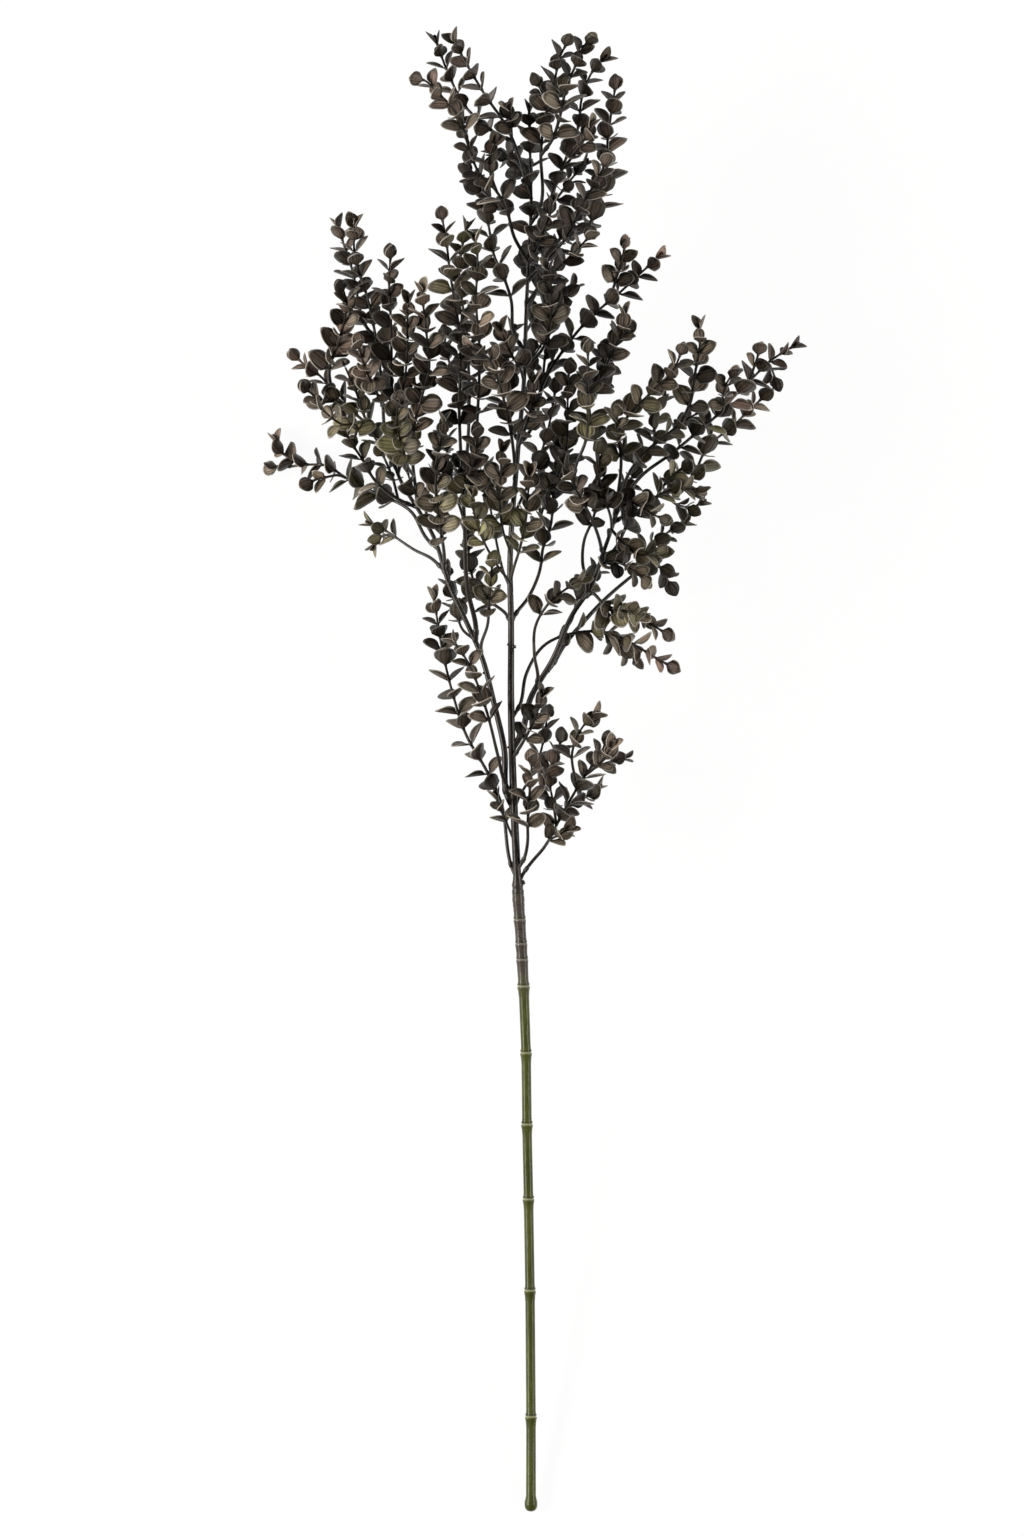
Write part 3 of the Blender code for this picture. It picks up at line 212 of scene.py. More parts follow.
DUSTY_SPOTS = (
    (-55, 860, 18, 0.8), (32, 851, 10, 0.8), (50, 857, 10, 1.0), (47, 827, 9, 0.9), (-122, 770, 11, 0.9),
    (-55, 779, 9, 1.0), (-67, 719, 11, 1.0), (-109, 704, 9, 0.9), (-136, 695, 15, 1.0), (-103, 686, 9, 0.8),
    (-112, 659, 8, 0.8), (-64, 659, 9, 0.8), (-19, 710, 8, 0.8), (77, 752, 9, 1.0), (53, 761, 8, 0.6),
    (152, 701, 12, 0.8), (128, 668, 13, 1.0), (122, 647, 10, 0.9), (143, 680, 10, 0.7), (77, 509, 14, 1.0),
    (68, 524, 9, 0.7), (44, 524, 8, 0.7), (-139, 629, 13, 0.7), (-151, 644, 9, 0.6), (65, 572, 10, 0.5),
    (11, 446, 13, 0.8), (35, 488, 11, 0.5), (56, 455, 9, 0.6), (-46, 467, 9, 0.7), (-55, 512, 9, 0.5),
    (-60, 548, 12, 0.5), (-90, 734, 18, 0.5),
)
PALE_AND_LIT_SPOTS = (  # where the pale dust is thicker: partly paler paint, partly painted light on open leaves
    (-109, 773, 13, 0.6), (-124, 703, 12, 1.0), (-130, 689, 12, 1.0), (-103, 684, 9, 1.0),
    (-121, 665, 11, 0.9), (-109, 656, 11, 1.0), (-112, 716, 10, 0.6), (-152, 638, 12, 0.8),
    (-139, 623, 11, 0.6), (-95, 590, 11, 0.7), (-83, 639, 8, 0.7), (-61, 611, 9, 0.6),
    (-46, 851, 11, 0.6), (-29, 833, 8, 0.5), (46, 830, 8, 0.7), (50, 805, 9, 0.6), (25, 821, 7, 0.6),
    (56, 761, 10, 0.5), (62, 716, 9, 0.8), (77, 751, 9, 0.5), (128, 663, 13, 1.0), (106, 624, 12, 1.0),
    (55, 530, 12, 1.0), (59, 515, 11, 1.0), (46, 537, 9, 0.7), (82, 505, 10, 0.6), (2, 620, 8, 0.6),
    (-14, 674, 8, 0.5), (-19, 692, 8, 0.6), (35, 656, 9, 0.7), (86, 620, 9, 0.6), (11, 446, 10, 0.5),
    (34, 452, 10, 0.6), (44, 437, 10, 1.0), (49, 457, 8, 0.6), (11, 413, 11, 0.9), (-50, 518, 10, 0.6),
    (-41, 483, 9, 0.6), (-33, 452, 8, 0.5), (115, 687, 8, 0.5), (-68, 655, 7, 0.6), (-58, 569, 9, 0.3),
    (-37, 722, 14, 0.5), (-7, 716, 12, 0.4), (-19, 620, 12, 0.5), (-1, 602, 12, 0.5), (-37, 590, 10, 0.3),
    (71, 519, 10, 0.8), (104, 701, 10, 0.7), (65, 556, 10, 0.5), (59, 668, 10, 0.4), (17, 654, 9, 0.4),
)
DEEP_SHADE_SPOTS = (  # where there is next to none: painted shade deep in the crown
    (26, 866, 14, 0.9), (23, 842, 10, 0.7), (-26, 818, 15, 0.9), (7, 805, 10, 0.8), (8, 784, 11, 0.8),
    (32, 801, 10, 0.7), (12, 742, 13, 0.9), (31, 728, 8, 0.6), (-52, 836, 7, 0.5), (-58, 709, 11, 0.7),
    (-25, 695, 7, 0.6), (-7, 710, 7, 0.6), (31, 699, 13, 0.7), (-58, 671, 13, 0.9), (-34, 650, 15, 0.9),
    (-85, 665, 11, 0.6), (-104, 641, 11, 0.9), (41, 635, 14, 0.8), (55, 625, 10, 0.8), (26, 629, 9, 0.6),
    (47, 590, 14, 0.8), (83, 635, 9, 0.6), (74, 584, 9, 0.6), (65, 665, 9, 0.6), (89, 698, 9, 0.6),
    (-31, 602, 9, 0.7), (-13, 596, 7, 0.6), (-61, 590, 9, 0.5), (26, 536, 10, 0.8), (35, 560, 9, 0.6),
    (-5, 477, 12, 0.7), (-16, 458, 9, 0.6), (20, 434, 8, 0.6), (-10, 809, 12, 0.5),
    (-85, 650, 13, 0.6), (-52, 652, 12, 0.5), (29, 632, 14, 0.7), (18, 606, 9, 0.5), (44, 833, 12, 0.5),
)
PALE_AND_LIT_SPOT_DUSTING = 0.68  # added in such a spot, partly as painted light
LEAST_DUSTING = 0.12  # of a leaf with no other over it, and how much more the palest has
MOST_DUSTING = 1.3
DUSTING_POWER = 1.45  # how few leaves come near the most
DEEP_SHADE_DUSTING = 0.12  # the share that a leaf deep under others keeps, as painted shade
TINTED_DUSTING = 0.3  # the most that a tint adds
TINT_STRENGTHS = (0.4, 1.2)  # how differently leaves take the tint of their spot
STRAY_OLIVE = (0.0, 0.12)  # a leaf's tint outside the spots
STRAY_DUSTY = (0.0, 0.2)
PEG_SHADE = 0.5

LEAF_BROWN = (0.0075, 0.0053, 0.0038, 1.0)
LEAF_GREY = (0.0062, 0.0063, 0.0055, 1.0)
LEAF_WARM = (0.07, 0.033, 0.022, 1.0)
LEAF_MOSS = (0.045, 0.043, 0.011, 1.0)
LEAF_ASH = (0.25, 0.21, 0.165, 1.0)
LEAF_DUSTY = (0.47, 0.31, 0.25, 1.0)
LEAF_SAGE = (0.48, 0.46, 0.22, 1.0)
# The pale rim colour: partly wear, partly a painted highlight where the edge catches the light.
LEAF_RIM = (0.56, 0.5, 0.44, 1.0)
LEAF_UNDER = (0.014, 0.011, 0.009, 1.0)
STEM_BROWN = (0.015, 0.011, 0.009, 1.0)
STEM_GREY = (0.02, 0.0187, 0.0165, 1.0)
STEM_OLIVE = (0.16, 0.15, 0.06, 1.0)
STEM_DUSTY = (0.26, 0.175, 0.15, 1.0)
STEM_WORN = (0.2, 0.167, 0.144, 1.0)
CANE_DEEP = (0.05, 0.059, 0.013, 1.0)
CANE_GREEN = (0.08, 0.091, 0.02, 1.0)
CANE_STREAK = (0.165, 0.18, 0.07, 1.0)
CANE_GREYED = (0.085, 0.083, 0.052, 1.0)
CANE_BROWNED = (0.072, 0.059, 0.048, 1.0)
CANE_LIP = (0.025, 0.028, 0.012, 1.0)
# The pale band in each ring: partly paler plastic, partly a painted highlight.
CANE_BAND_HIGHLIGHT = (0.66, 0.66, 0.43, 1.0)
CANE_BAND_HIGHLIGHT_ABOVE = (0.42, 0.37, 0.31, 1.0)
GREYING = (0.308, 0.328)  # metres up the cane, where its green turns grey
BROWNING = (0.325, 0.334)  # and its grey turns brown
MIX_SHARE, MIX_FIRST, MIX_SECOND, MIX_RESULT = 0, 6, 7, 2  # the colour sockets of a Mix node

LEAF_MOTTLE = (230.0, 3.0, 0.6)  # scale, detail and roughness of a noise
LEAF_GRAIN = (1500.0, 2.0, 0.6)
STEM_STREAKS = (1500.0, 3.0, 0.6)
STEM_PATCHES = (90.0, 3.0, 0.6)
CANE_STREAKS = (1300.0, 3.0, 0.6)
CANE_FIBRES = (260.0, 2.0, 0.5)
CANE_PATCHES = (60.0, 3.0, 0.6)
CANE_WRINKLES = (420.0, 3.0, 0.6)
FLOOR_CLOUDS = (3.0, 2.0, 0.5)
STREAK_SCALE = 0.12  # along the branch, of a noise that is drawn out to streaks
FINE_STREAK_SCALE = 0.05
WRINKLE_SCALE = 2.6

RIB_EDGE = (0.12, 0.03)  # on a leaf from its middle line, nought, to its rim, one
VEIN_WAVES = 2.7  # from the rib to the rim
VEIN_SLANT = 0.4
VEIN_CREST = (0.1, 0.95)
VEIN_ENDS = (0.95, 0.7)
CENTRE_EDGE = (1.0, 0.35)
# Pale rims of the leaves: partly wear, partly painted highlight.
WORN_AND_LIT_EDGE = (0.82, 0.94)
WORN_AND_LIT_WANDER = 0.1
WARM_MOTTLE = (0.35, 0.7)
WARM_SHARE = 0.8
MOSS_SHARE = 0.8
PINK_CENTRE = 0.5
UNDER_SHARE = 0.6
# Painted shade on each leaf: its pale dust is thinner at the root and on one half, which come out darker.
SHADED_ROOT_DUSTING = 0.55
TIP_DUSTING_PAST_SHADE = 0.5  # how much more there is at a leaf's tip, out of the painted shade at its root
SHADED_SIDE_DUSTING = 1.4  # how much it leans to one side, leaving painted shade on the other half
RIM_DUSTING = 0.15
EVEN_DUSTING = 0.05
MOTTLED_DUSTING = 0.9
GRAINY_DUSTING = 0.5
RIB_DUSTING = (0.04, 0.6)  # on an undusted leaf, and how much more on a dusted one
VEIN_DUSTING = (0.01, 0.2)
WORN_AND_LIT_DUSTING = (0.04, 0.85)
LEAF_ROUGHNESS = (0.3, 0.2)  # the least, and how much more a noise adds
GRAIN_HEIGHT, RIB_HEIGHT, VEIN_HEIGHT, MOTTLE_HEIGHT = 0.25, 0.9, 0.6, 0.4
LEAF_BUMP = (0.7, 0.0003)  # strength and height

STEM_PATCH_EDGE = (0.3, 0.6)
STEM_DUSTING = (0.07, 0.6)
STREAK_EDGE = (0.5, 0.78)
STREAK_DUSTING = (0.04, 0.2)
STEM_ROUGHNESS = (0.24, 0.16)
STEM_PATCH_HEIGHT = 0.5
STEM_BUMP = (0.35, 0.0002)

FIBRE_EDGE = (0.35, 0.68)
CANE_STREAK_EDGE = (0.5, 0.8)
CANE_STREAK_SHARE = 0.6
CANE_PATCH_EDGE = (0.5, 0.8)
CANE_PATCH_SHARE = 0.35
CHANGE_WANDER = 0.01  # metres
LIP_SHARE = 0.75
BAND_HIGHLIGHT_SHARE = 0.5
# Painted shade in the low places of the neck's wrinkles.
FOLD_SHADE_EDGE = (0.5, 0.3)
FOLD_SHADE_SHARE = 0.7
CANE_ROUGHNESS = (0.2, 0.12)
FIBRE_HEIGHT, WRINKLE_HEIGHT = 0.6, 3.0
CANE_BUMP = (0.18, 0.0003)

FLOOR_SIZE = 30.0
FLOOR_WHITE = (0.07, 0.07, 0.07, 1.0)
FLOOR_SHADE = (0.065, 0.065, 0.065, 1.0)
FLOOR_GLOW = 0.95
FLOOR_ROUGHNESS = 0.9
SURROUND_LIGHT = 0.03
LAMPS = (  # name, place, length and breadth, power
    ("left_lamp", (-3.0, 0.1, 1.8), (3.0, 1.0), 170.0),
    ("right_lamp", (3.0, 0.1, 1.8), (3.0, 1.0), 97.0),
)
LAMP_COLOUR = (1.0, 0.97, 0.92)
PURE_WHITE = (1.0, 1.0, 1.0, 1.0)
LENS = 1000.0
SENSOR = 36.0
PICTURE_HEIGHT = 921.0  # the height of the picture at the branch's level, in millimetres
AIM = (-0.0134, 0.002)
AIM_LEVEL = 0.08
CLIP_END = 100.0

MAIN_STEMS = (  # name, parent, height of the tip, radii, share that is bare, bulge and route
    (
        "leader", "cane", 93, (2.5, 0.7), 0.84, 8.0,
        (-9, 398), (-10.8, 440), (-12, 488), (-12, 537), (-12.6, 566), (-7.8, 638),
        (-4.2, 680), (-3, 716), (-1.2, 758), (0, 782), (-0.6, 818), (-1.2, 845),
    ),
    (
        "left_stem_outer", "leader", 54, (2.0, 1.0), 1.0, 0.0,
        (-14, 430), (-16, 458), (-22, 485), (-30, 515), (-38, 533), (-49, 557),
        (-59, 587), (-67, 601), (-77, 617), (-86, 641),
    ),
    (
        "left_stem_inner", "left_stem_outer", 94, (1.6, 0.9), 0.75, 0.0,
        (-33, 530), (-38, 554), (-40, 596), (-42, 632),
    ),
    (
        "right_stem_outer", "leader", 74, (2.0, 1.0), 1.0, 0.0,
        (-6, 467), (-0.6, 488), (13, 512), (26, 541), (35, 554), (44, 578), (52, 602), (55, 614),
    ),
    (
        "right_stem_inner", "right_stem_outer", 44, (1.6, 0.9), 1.0, 0.0,
        (12, 508), (20, 521), (31, 534), (42, 546), (59, 561), (71, 570),
    ),
)
TWIGS = (  # name, parent, height of the tip, share that is bare and route
    (
        "twig_50", "leader", 62, 0.3,
        (-5, 383), (0, 390), (8.4, 400), (17, 416), (29, 437), (41, 455), (47, 465),
    ),
    ("twig_51", "leader", 82, 0.3, (-4, 393), (-2, 403), (-2, 412), (-1, 430), (1, 455)),
    ("twig_52", "leader", 100, 0.35, (-4, 464), (2, 476), (8, 494)),
    ("side_50a", "twig_50", 40, 0.3, (45, 450), (59, 454)),
    ("side_50b", "twig_50", 88, 0.3, (25, 458), (32, 473), (41, 481)),
    ("side_50c", "twig_50", 34, 0.3, (13, 428), (9, 446)),
    (
        "twig_01", "leader", 120, 0.3,
        (-9.6, 764), (-16, 785), (-22, 794), (-31, 803), (-37, 818), (-43, 836),
    ),
    (
        "twig_02", "leader", 100, 0.3,
        (-2.4, 797), (-7, 813), (-14, 830), (-28, 851), (-37, 866), (-48, 886),
    ),
    ("twig_03", "twig_02", 76, 0.2, (-22, 828), (-31, 835), (-39, 843), (-49, 862), (-58, 886)),
    ("twig_04", "twig_01", 138, 0.15, (-38, 822), (-46, 841), (-56, 851), (-63, 858), (-70, 860)),
    ("twig_05", "leader", 110, 0.4, (4.2, 780), (6, 818), (7.2, 830), (14, 857), (17, 872), (23, 884)),
    ("twig_06", "twig_05", 130, 0.2, (13, 824), (17, 836), (22, 857), (26, 866), (31, 878), (37, 884)),
    (
        "twig_07", "leader", 78, 0.3,
        (6, 775), (15, 797), (22, 815), (28, 830), (31, 851), (41, 870), (46, 874),
    ),
    ("twig_08", "twig_09", 58, 0.15, (33, 770), (40, 784), (45, 803), (46, 824), (49, 845), (51, 859)),
    ("twig_09", "leader", 122, 0.3, (13, 755), (22, 766), (31, 785), (40, 800), (46, 812)),
    (
        "twig_10", "leader", 58, 0.3,
        (-10, 707), (-12, 728), (-17, 743), (-22, 754), (-25, 770), (-28, 786), (-31, 800),
    ),
    ("side_02", "twig_02", 122, 0.3, (-12, 832), (-14, 845)),
    (
        "twig_11", "left_stem_inner", 124, 0.3,
        (-43, 660), (-43, 710), (-46, 728), (-48, 740), (-51, 764), (-54, 780),
    ),
    (
        "twig_12", "left_stem_inner", 92, 0.3,
        (-38, 640), (-37, 668), (-39, 710), (-43, 746), (-41, 761), (-38, 774),
    ),
    (
        "twig_13", "left_stem_inner", 148, 0.3,
        (-36, 620), (-32, 660), (-31, 700), (-33, 728), (-32, 752), (-34, 767),
    ),
    (
        "twig_14", "left_stem_outer", 74, 0.3,
        (-88, 652), (-89, 668), (-92, 698), (-97, 725), (-106, 757), (-106, 776),
    ),
    ("twig_15", "twig_14", 44, 0.15, (-99, 712), (-105, 734), (-107, 745), (-111, 757), (-117, 776)),
    ("twig_16", "twig_18", 92, 0.15, (-121, 687), (-116, 701), (-112, 715), (-111, 729), (-115, 737)),
    (
        "twig_17", "left_stem_outer", 108, 0.3,
        (-78, 633), (-81, 648), (-83, 668), (-84, 716), (-85, 734), (-84, 757),
    ),
    (
        "twig_18", "left_stem_outer", 36, 0.2,
        (-95, 650), (-107, 661), (-118, 671), (-125, 681), (-136, 689), (-143, 696),
    ),
    (
        "twig_19", "left_stem_outer", 136, 0.3,
        (-69, 613), (-71, 632), (-70, 652), (-65, 671), (-61, 686), (-62, 701), (-66, 736),
    ),
    (
        "twig_20", "left_stem_outer", 7, 0.35,
        (-62, 584), (-72, 601), (-95, 613), (-109, 620), (-124, 629), (-138, 630), (-149, 636),
        (-155, 647),
    ),
    (
        "twig_21", "left_stem_outer", 66, 0.3,
        (-79, 608), (-94, 620), (-101, 632), (-109, 644), (-115, 658),
    ),
    ("twig_22", "left_stem_outer", 24, 0.6, (-60, 573), (-70, 578), (-79, 584), (-88, 590), (-99, 595)),
    (
        "twig_23", "leader", 40, 0.3,
        (-11, 386), (-18.6, 428), (-27, 446), (-39, 467), (-46, 488), (-52, 512), (-59, 553),
    ),
    (
        "twig_24", "leader", 92, 0.45,
        (-15.6, 438), (-20, 455), (-26, 479), (-32, 497), (-37, 509), (-48, 525),
    ),
    ("twig_25", "left_stem_outer", 118, 0.6, (-30, 520), (-26, 533), (-25, 548), (-23, 572)),
    ("twig_26", "leader", 34, 0.3, (-14, 538), (-26, 548), (-32, 554), (-37, 572), (-38, 590)),
    ("twig_27", "left_stem_outer", 128, 0.3, (-52, 572), (-55, 596), (-57, 620), (-55, 641)),
    (
        "twig_28", "leader", 152, 0.3,
        (-9.6, 620), (-11, 641), (-15, 662), (-20, 680), (-26, 693), (-40, 700),
    ),
    ("twig_29", "leader", 46, 0.3, (-11, 650), (-14, 674), (-16, 695), (-9.6, 713)),
    ("side_20", "twig_20", 5, 0.2, (-148, 628), (-158, 629)),
    (
        "twig_30", "leader", 50, 0.3,
        (-10, 538), (-1.8, 549), (5.4, 566), (7.2, 579), (12, 593), (13, 608), (17, 644),
    ),
    (
        "twig_31", "right_stem_outer", 112, 0.6,
        (4, 500), (2, 515), (3, 533), (11, 546), (22, 555), (32, 562),
    ),
    (
        "twig_32", "leader", 60, 0.45,
        (-6.6, 485), (-3, 503), (8.4, 521), (26, 528), (47, 528), (62, 521), (75, 513), (86, 507),
    ),
    ("twig_33", "right_stem_outer", 98, 0.3, (36, 552), (44, 545), (58, 540), (74, 532), (83, 526)),
    ("twig_34", "right_stem_outer", 128, 0.5, (40, 587), (33, 603), (25, 618), (20, 631)),
    (
        "twig_35", "right_stem_outer", 106, 0.5,
        (34, 556), (31, 569), (32, 584), (37, 596), (40, 608), (41, 626),
    ),
    ("twig_36", "right_stem_outer", 96, 0.3, (60, 626), (68, 636), (79, 645), (92, 655), (104, 662)),
    ("twig_37", "twig_36", 122, 0.2, (96, 668), (98, 682), (101, 700), (101, 715)),
    (
        "twig_38", "right_stem_outer", 46, 0.3,
        (65, 621), (86, 637), (98, 647), (115, 662), (122, 670), (133, 681), (142, 690), (152, 697),
        (161, 702),
    ),
    (
        "twig_39", "right_stem_outer", 7, 0.3,
        (65, 605), (83, 613), (95, 620), (107, 641), (122, 653), (131, 662), (142, 672),
    ),
    (
        "twig_40", "right_stem_outer", 132, 0.3,
        (54, 632), (53, 650), (61, 661), (68, 668), (77, 677), (85, 685), (91, 699),
    ),
    (
        "twig_41", "right_stem_outer", 72, 0.3,
        (50, 578), (58, 593), (65, 602), (74, 609), (85, 614), (104, 614),
    ),
    ("twig_42", "right_stem_inner", 12, 0.2, (68, 575), (80, 587), (94, 596)),
    ("twig_43", "right_stem_outer", 104, 0.3, (47, 590), (55, 582), (65, 575), (80, 577)),
    ("twig_44", "right_stem_inner", 6, 0.2, (72, 571), (78, 567), (84, 556)),
    (
        "twig_45", "leader", 70, 0.3,
        (-2, 655), (10, 683), (19, 697), (29, 710), (41, 722), (53, 732), (66, 744), (79, 756),
    ),
    ("twig_46", "twig_35", 88, 0.3, (40, 630), (38, 646), (35, 668), (44, 686), (47, 701), (60, 712)),
    ("twig_47", "twig_34", 146, 0.3, (26, 625), (33, 644), (34, 666), (34, 700)),
    ("twig_48", "leader", 138, 0.3, (8, 700), (12, 718), (12, 735), (10, 750)),
    ("twig_49", "leader", 62, 0.3, (0, 650), (6, 672), (9, 698), (16, 727)),
    ("side_30", "twig_30", 24, 0.25, (6, 596), (5.4, 614), (4.2, 632)),
    ("side_38", "twig_38", 62, 0.2, (134, 688), (138, 700)),
    ("side_45", "twig_45", 92, 0.2, (50, 737), (54, 750), (57, 763)),
)
FIRST_FILLER = 61
FILLERS = (  # the side twigs that fill the crown: parent, height of the tip, share that is bare, route
    ("twig_02", 84, 0.2, (-8.4, 810), (-17, 813), (-25, 818)),
    ("twig_01", 138, 0.2, (-23, 799), (-25, 809), (-23, 818), (-20, 825)),
    ("leader", 52, 0.25, (8.4, 751), (17, 764), (26, 775), (33, 785), (40, 797)),
    ("twig_07", 66, 0.2, (15, 788), (21, 796), (28, 805), (34, 812)),
    ("leader", 124, 0.25, (6, 737), (15, 745), (23, 753), (31, 761), (37, 767)),
    ("leader", 60, 0.25, (1.2, 728), (6, 740), (9, 753), (10.8, 764)),
    ("twig_46", 120, 0.15, (45, 688), (50, 699), (55, 710), (56, 722)),
    ("twig_46", 50, 0.15, (37, 669), (41, 679), (45, 687), (48, 695)),
    ("twig_14", 116, 0.15, (-91, 669), (-97, 681), (-101, 692), (-104, 703)),
    ("twig_18", 62, 0.15, (-101, 661), (-105, 673), (-109, 682), (-113, 691)),
    ("twig_18", 60, 0.15, (-116, 667), (-124, 667), (-131, 671), (-137, 677)),
    ("twig_21", 96, 0.2, (-105, 653), (-113, 653), (-122, 659), (-128, 665)),
    ("twig_19", 152, 0.2, (-73, 626), (-77, 639), (-80, 653), (-80, 667)),
    ("twig_21", 40, 0.2, (-83, 621), (-88, 633), (-93, 644), (-98, 653)),
    ("twig_27", 146, 0.2, (-57, 620), (-56, 634), (-53, 646), (-52, 658)),
    ("left_stem_inner", 46, 0.35, (-40, 593), (-45, 611), (-49, 628), (-51, 644), (-51, 656)),
    ("twig_17", 84, 0.2, (-79, 644), (-74, 657), (-70, 668), (-68, 677)),
    ("leader", 54, 0.45, (-11.4, 548), (-17, 566), (-21, 584), (-24, 601), (-26, 616), (-26, 631)),
    ("leader", 128, 0.3, (-12, 572), (-17, 590), (-19, 608), (-18, 626), (-17, 641)),
    ("left_stem_inner", 142, 0.2, (-41, 608), (-37, 621), (-33, 635), (-32, 649)),
    ("leader", 100, 0.3, (-11.4, 596), (-19, 609), (-26, 617), (-32, 623)),
    ("leader", 132, 0.5, (-11.4, 554), (-20, 568), (-27, 580), (-32, 592), (-35, 604), (-36, 614)),
    ("leader", 120, 0.3, (-11.4, 563), (-6.6, 579), (-3, 596), (-1.8, 611), (-0.6, 627)),
    ("leader", 44, 0.3, (-9, 601), (-1.8, 617), (5.4, 634), (10.2, 650), (13.2, 665), (15, 677)),
    ("leader", 136, 0.2, (-6, 644), (-1.8, 656), (1.2, 669), (1.8, 682)),
    ("twig_30", 40, 0.2, (6, 596), (10.2, 610), (15, 623), (19, 637)),
    ("twig_40", 120, 0.15, (55, 637), (52, 646), (51, 656), (52, 663)),
    ("twig_36", 60, 0.15, (73, 640), (74, 652), (77, 663), (82, 671)),
    ("twig_39", 30, 0.15, (79, 611), (88, 605), (98, 604), (105, 608)),
    ("twig_39", 66, 0.15, (73, 608), (80, 617), (88, 625), (95, 629)),
    ("twig_38", 84, 0.15, (115, 661), (115, 670), (118, 679), (123, 685)),
    ("right_stem_outer", 100, 0.15, (41, 568), (47, 571), (55, 569), (63, 564), (70, 557)),
    ("right_stem_outer", 34, 0.35, (24, 535), (28, 549), (37, 563), (45, 574)),
    ("twig_51", 56, 0.2, (2.4, 428), (9, 442), (15, 454), (19, 467)),
    ("twig_50", 28, 0.2, (19, 421), (27, 426), (35, 431), (42, 437)),
    ("twig_50", 74, 0.3, (10.2, 403), (17, 407), (25, 412)),
    ("twig_20", 22, 0.2, (-115, 623), (-122, 622), (-130, 620), (-136, 617)),
    ("leader", 60, 0.3, (-9, 398), (-13.8, 412), (-19, 424), (-22, 433)),
    ("twig_30", 108, 0.15, (9, 608), (16, 622), (21, 639), (22, 656), (22, 673), (23, 688)),
    ("twig_17", 128, 0.15, (-83, 653), (-78, 668), (-75, 685), (-74, 701), (-74, 717), (-73, 730)),
    ("left_stem_outer", 30, 0.3, (-41, 530), (-45, 543), (-48, 555), (-50, 567)),
    ("twig_01", 84, 0.2, (-19, 784), (-26, 790), (-34, 797), (-40, 807)),
    ("twig_07", 110, 0.2, (23, 811), (29, 819), (34, 827), (38, 835)),
    ("twig_05", 88, 0.15, (9.6, 845), (6, 853), (3, 860)),
    ("leader", 34, 0.25, (4.2, 719), (12.6, 725), (21, 731), (27, 739)),
    ("twig_36", 66, 0.1, (63, 627), (58, 634), (54, 641)),
    ("twig_41", 104, 0.2, (58, 607), (67, 603), (75, 598), (82, 596)),
    ("right_stem_outer", 36, 0.3, (50, 601), (55, 614), (61, 622), (65, 631)),
    ("twig_38", 30, 0.15, (142, 689), (146, 683), (147, 677)),
    ("twig_12", 56, 0.2, (-38, 668), (-47, 685), (-51, 698), (-52, 710)),
    ("twig_33", 122, 0.2, (49, 541), (58, 541), (67, 537)),
    ("twig_32", 26, 0.2, (41, 529), (50, 524), (58, 517), (65, 509)),
    ("twig_22", 14, 0.2, (-88, 587), (-92, 584), (-96, 578)),
    ("right_stem_outer", 110, 0.35, (48, 596), (44, 609), (41, 620), (40, 631), (41, 640)),
    ("leader", 36, 0.35, (-7.8, 428), (0, 442), (5.4, 455), (8.4, 469), (10.2, 482)),
    ("left_stem_outer", 74, 0.3, (-63, 601), (-69, 611), (-73, 621), (-75, 629)),
    ("twig_50", 84, 0.3, (37, 446), (44, 453), (50, 463)),
    ("leader", 130, 0.2, (-6, 685), (-11.4, 694), (-16, 704), (-19, 713)),
    ("leader", 60, 0.35, (-4.2, 704), (0.6, 694), (6, 701), (8.4, 711)),
    ("leader", 134, 0.2, (3, 758), (7.8, 769), (11.4, 779), (12.6, 789)),
    ("leader", 36, 0.3, (-1.8, 746), (1.8, 758), (4.2, 769)),
    ("leader", 50, 0.25, (-0.6, 794), (-5.4, 805), (-10.2, 813), (-12.6, 821)),
)


@dataclass
class Stem:
    """One stem: its route in plan, its tip's height, and the share of its length that is bare."""

    name: str
    parent: str
    route: tuple
    tip: float
    radii: tuple
    bare: float
    bulge: float
    moulded: bool = False  # moulded in one with its parent, so it has no peg and no node of its own
    line: np.ndarray = None
    peg_end: int = 0
    node: str = ""
    leaves: list = field(default_factory=list)

    def radius(self, share):
        """The stem's radius at a share of its length."""
        return self.radii[0] + (self.radii[1] - self.radii[0]) * share


@dataclass
class Leaf:
    """One blade: its root, the way it points, the way its upper face looks, and its size."""

    root: np.ndarray
    along: np.ndarray
    face: np.ndarray
    length: float
    width: float
    curl: float
    distance: float  # along the stem

    def middle(self):
        """The point half-way along the blade."""
        return self.root + self.along * self.length / 2


def main_stem(name, parent, tip, radii, bare, bulge, *route):
    """The leader, or one of the four forks that carry the crown."""
    return Stem(name, parent, route, tip, radii, bare, bulge)


def twig(name, parent, tip, bare, *route):
    """A leafy twig on a peg. A side twig is shorter, and moulded in one with the twig that it grows from."""
    moulded = name.startswith("side")
    return Stem(name, parent, route, tip, SHORT_RADII if moulded else TWIG_RADII, bare, 0.0, moulded)


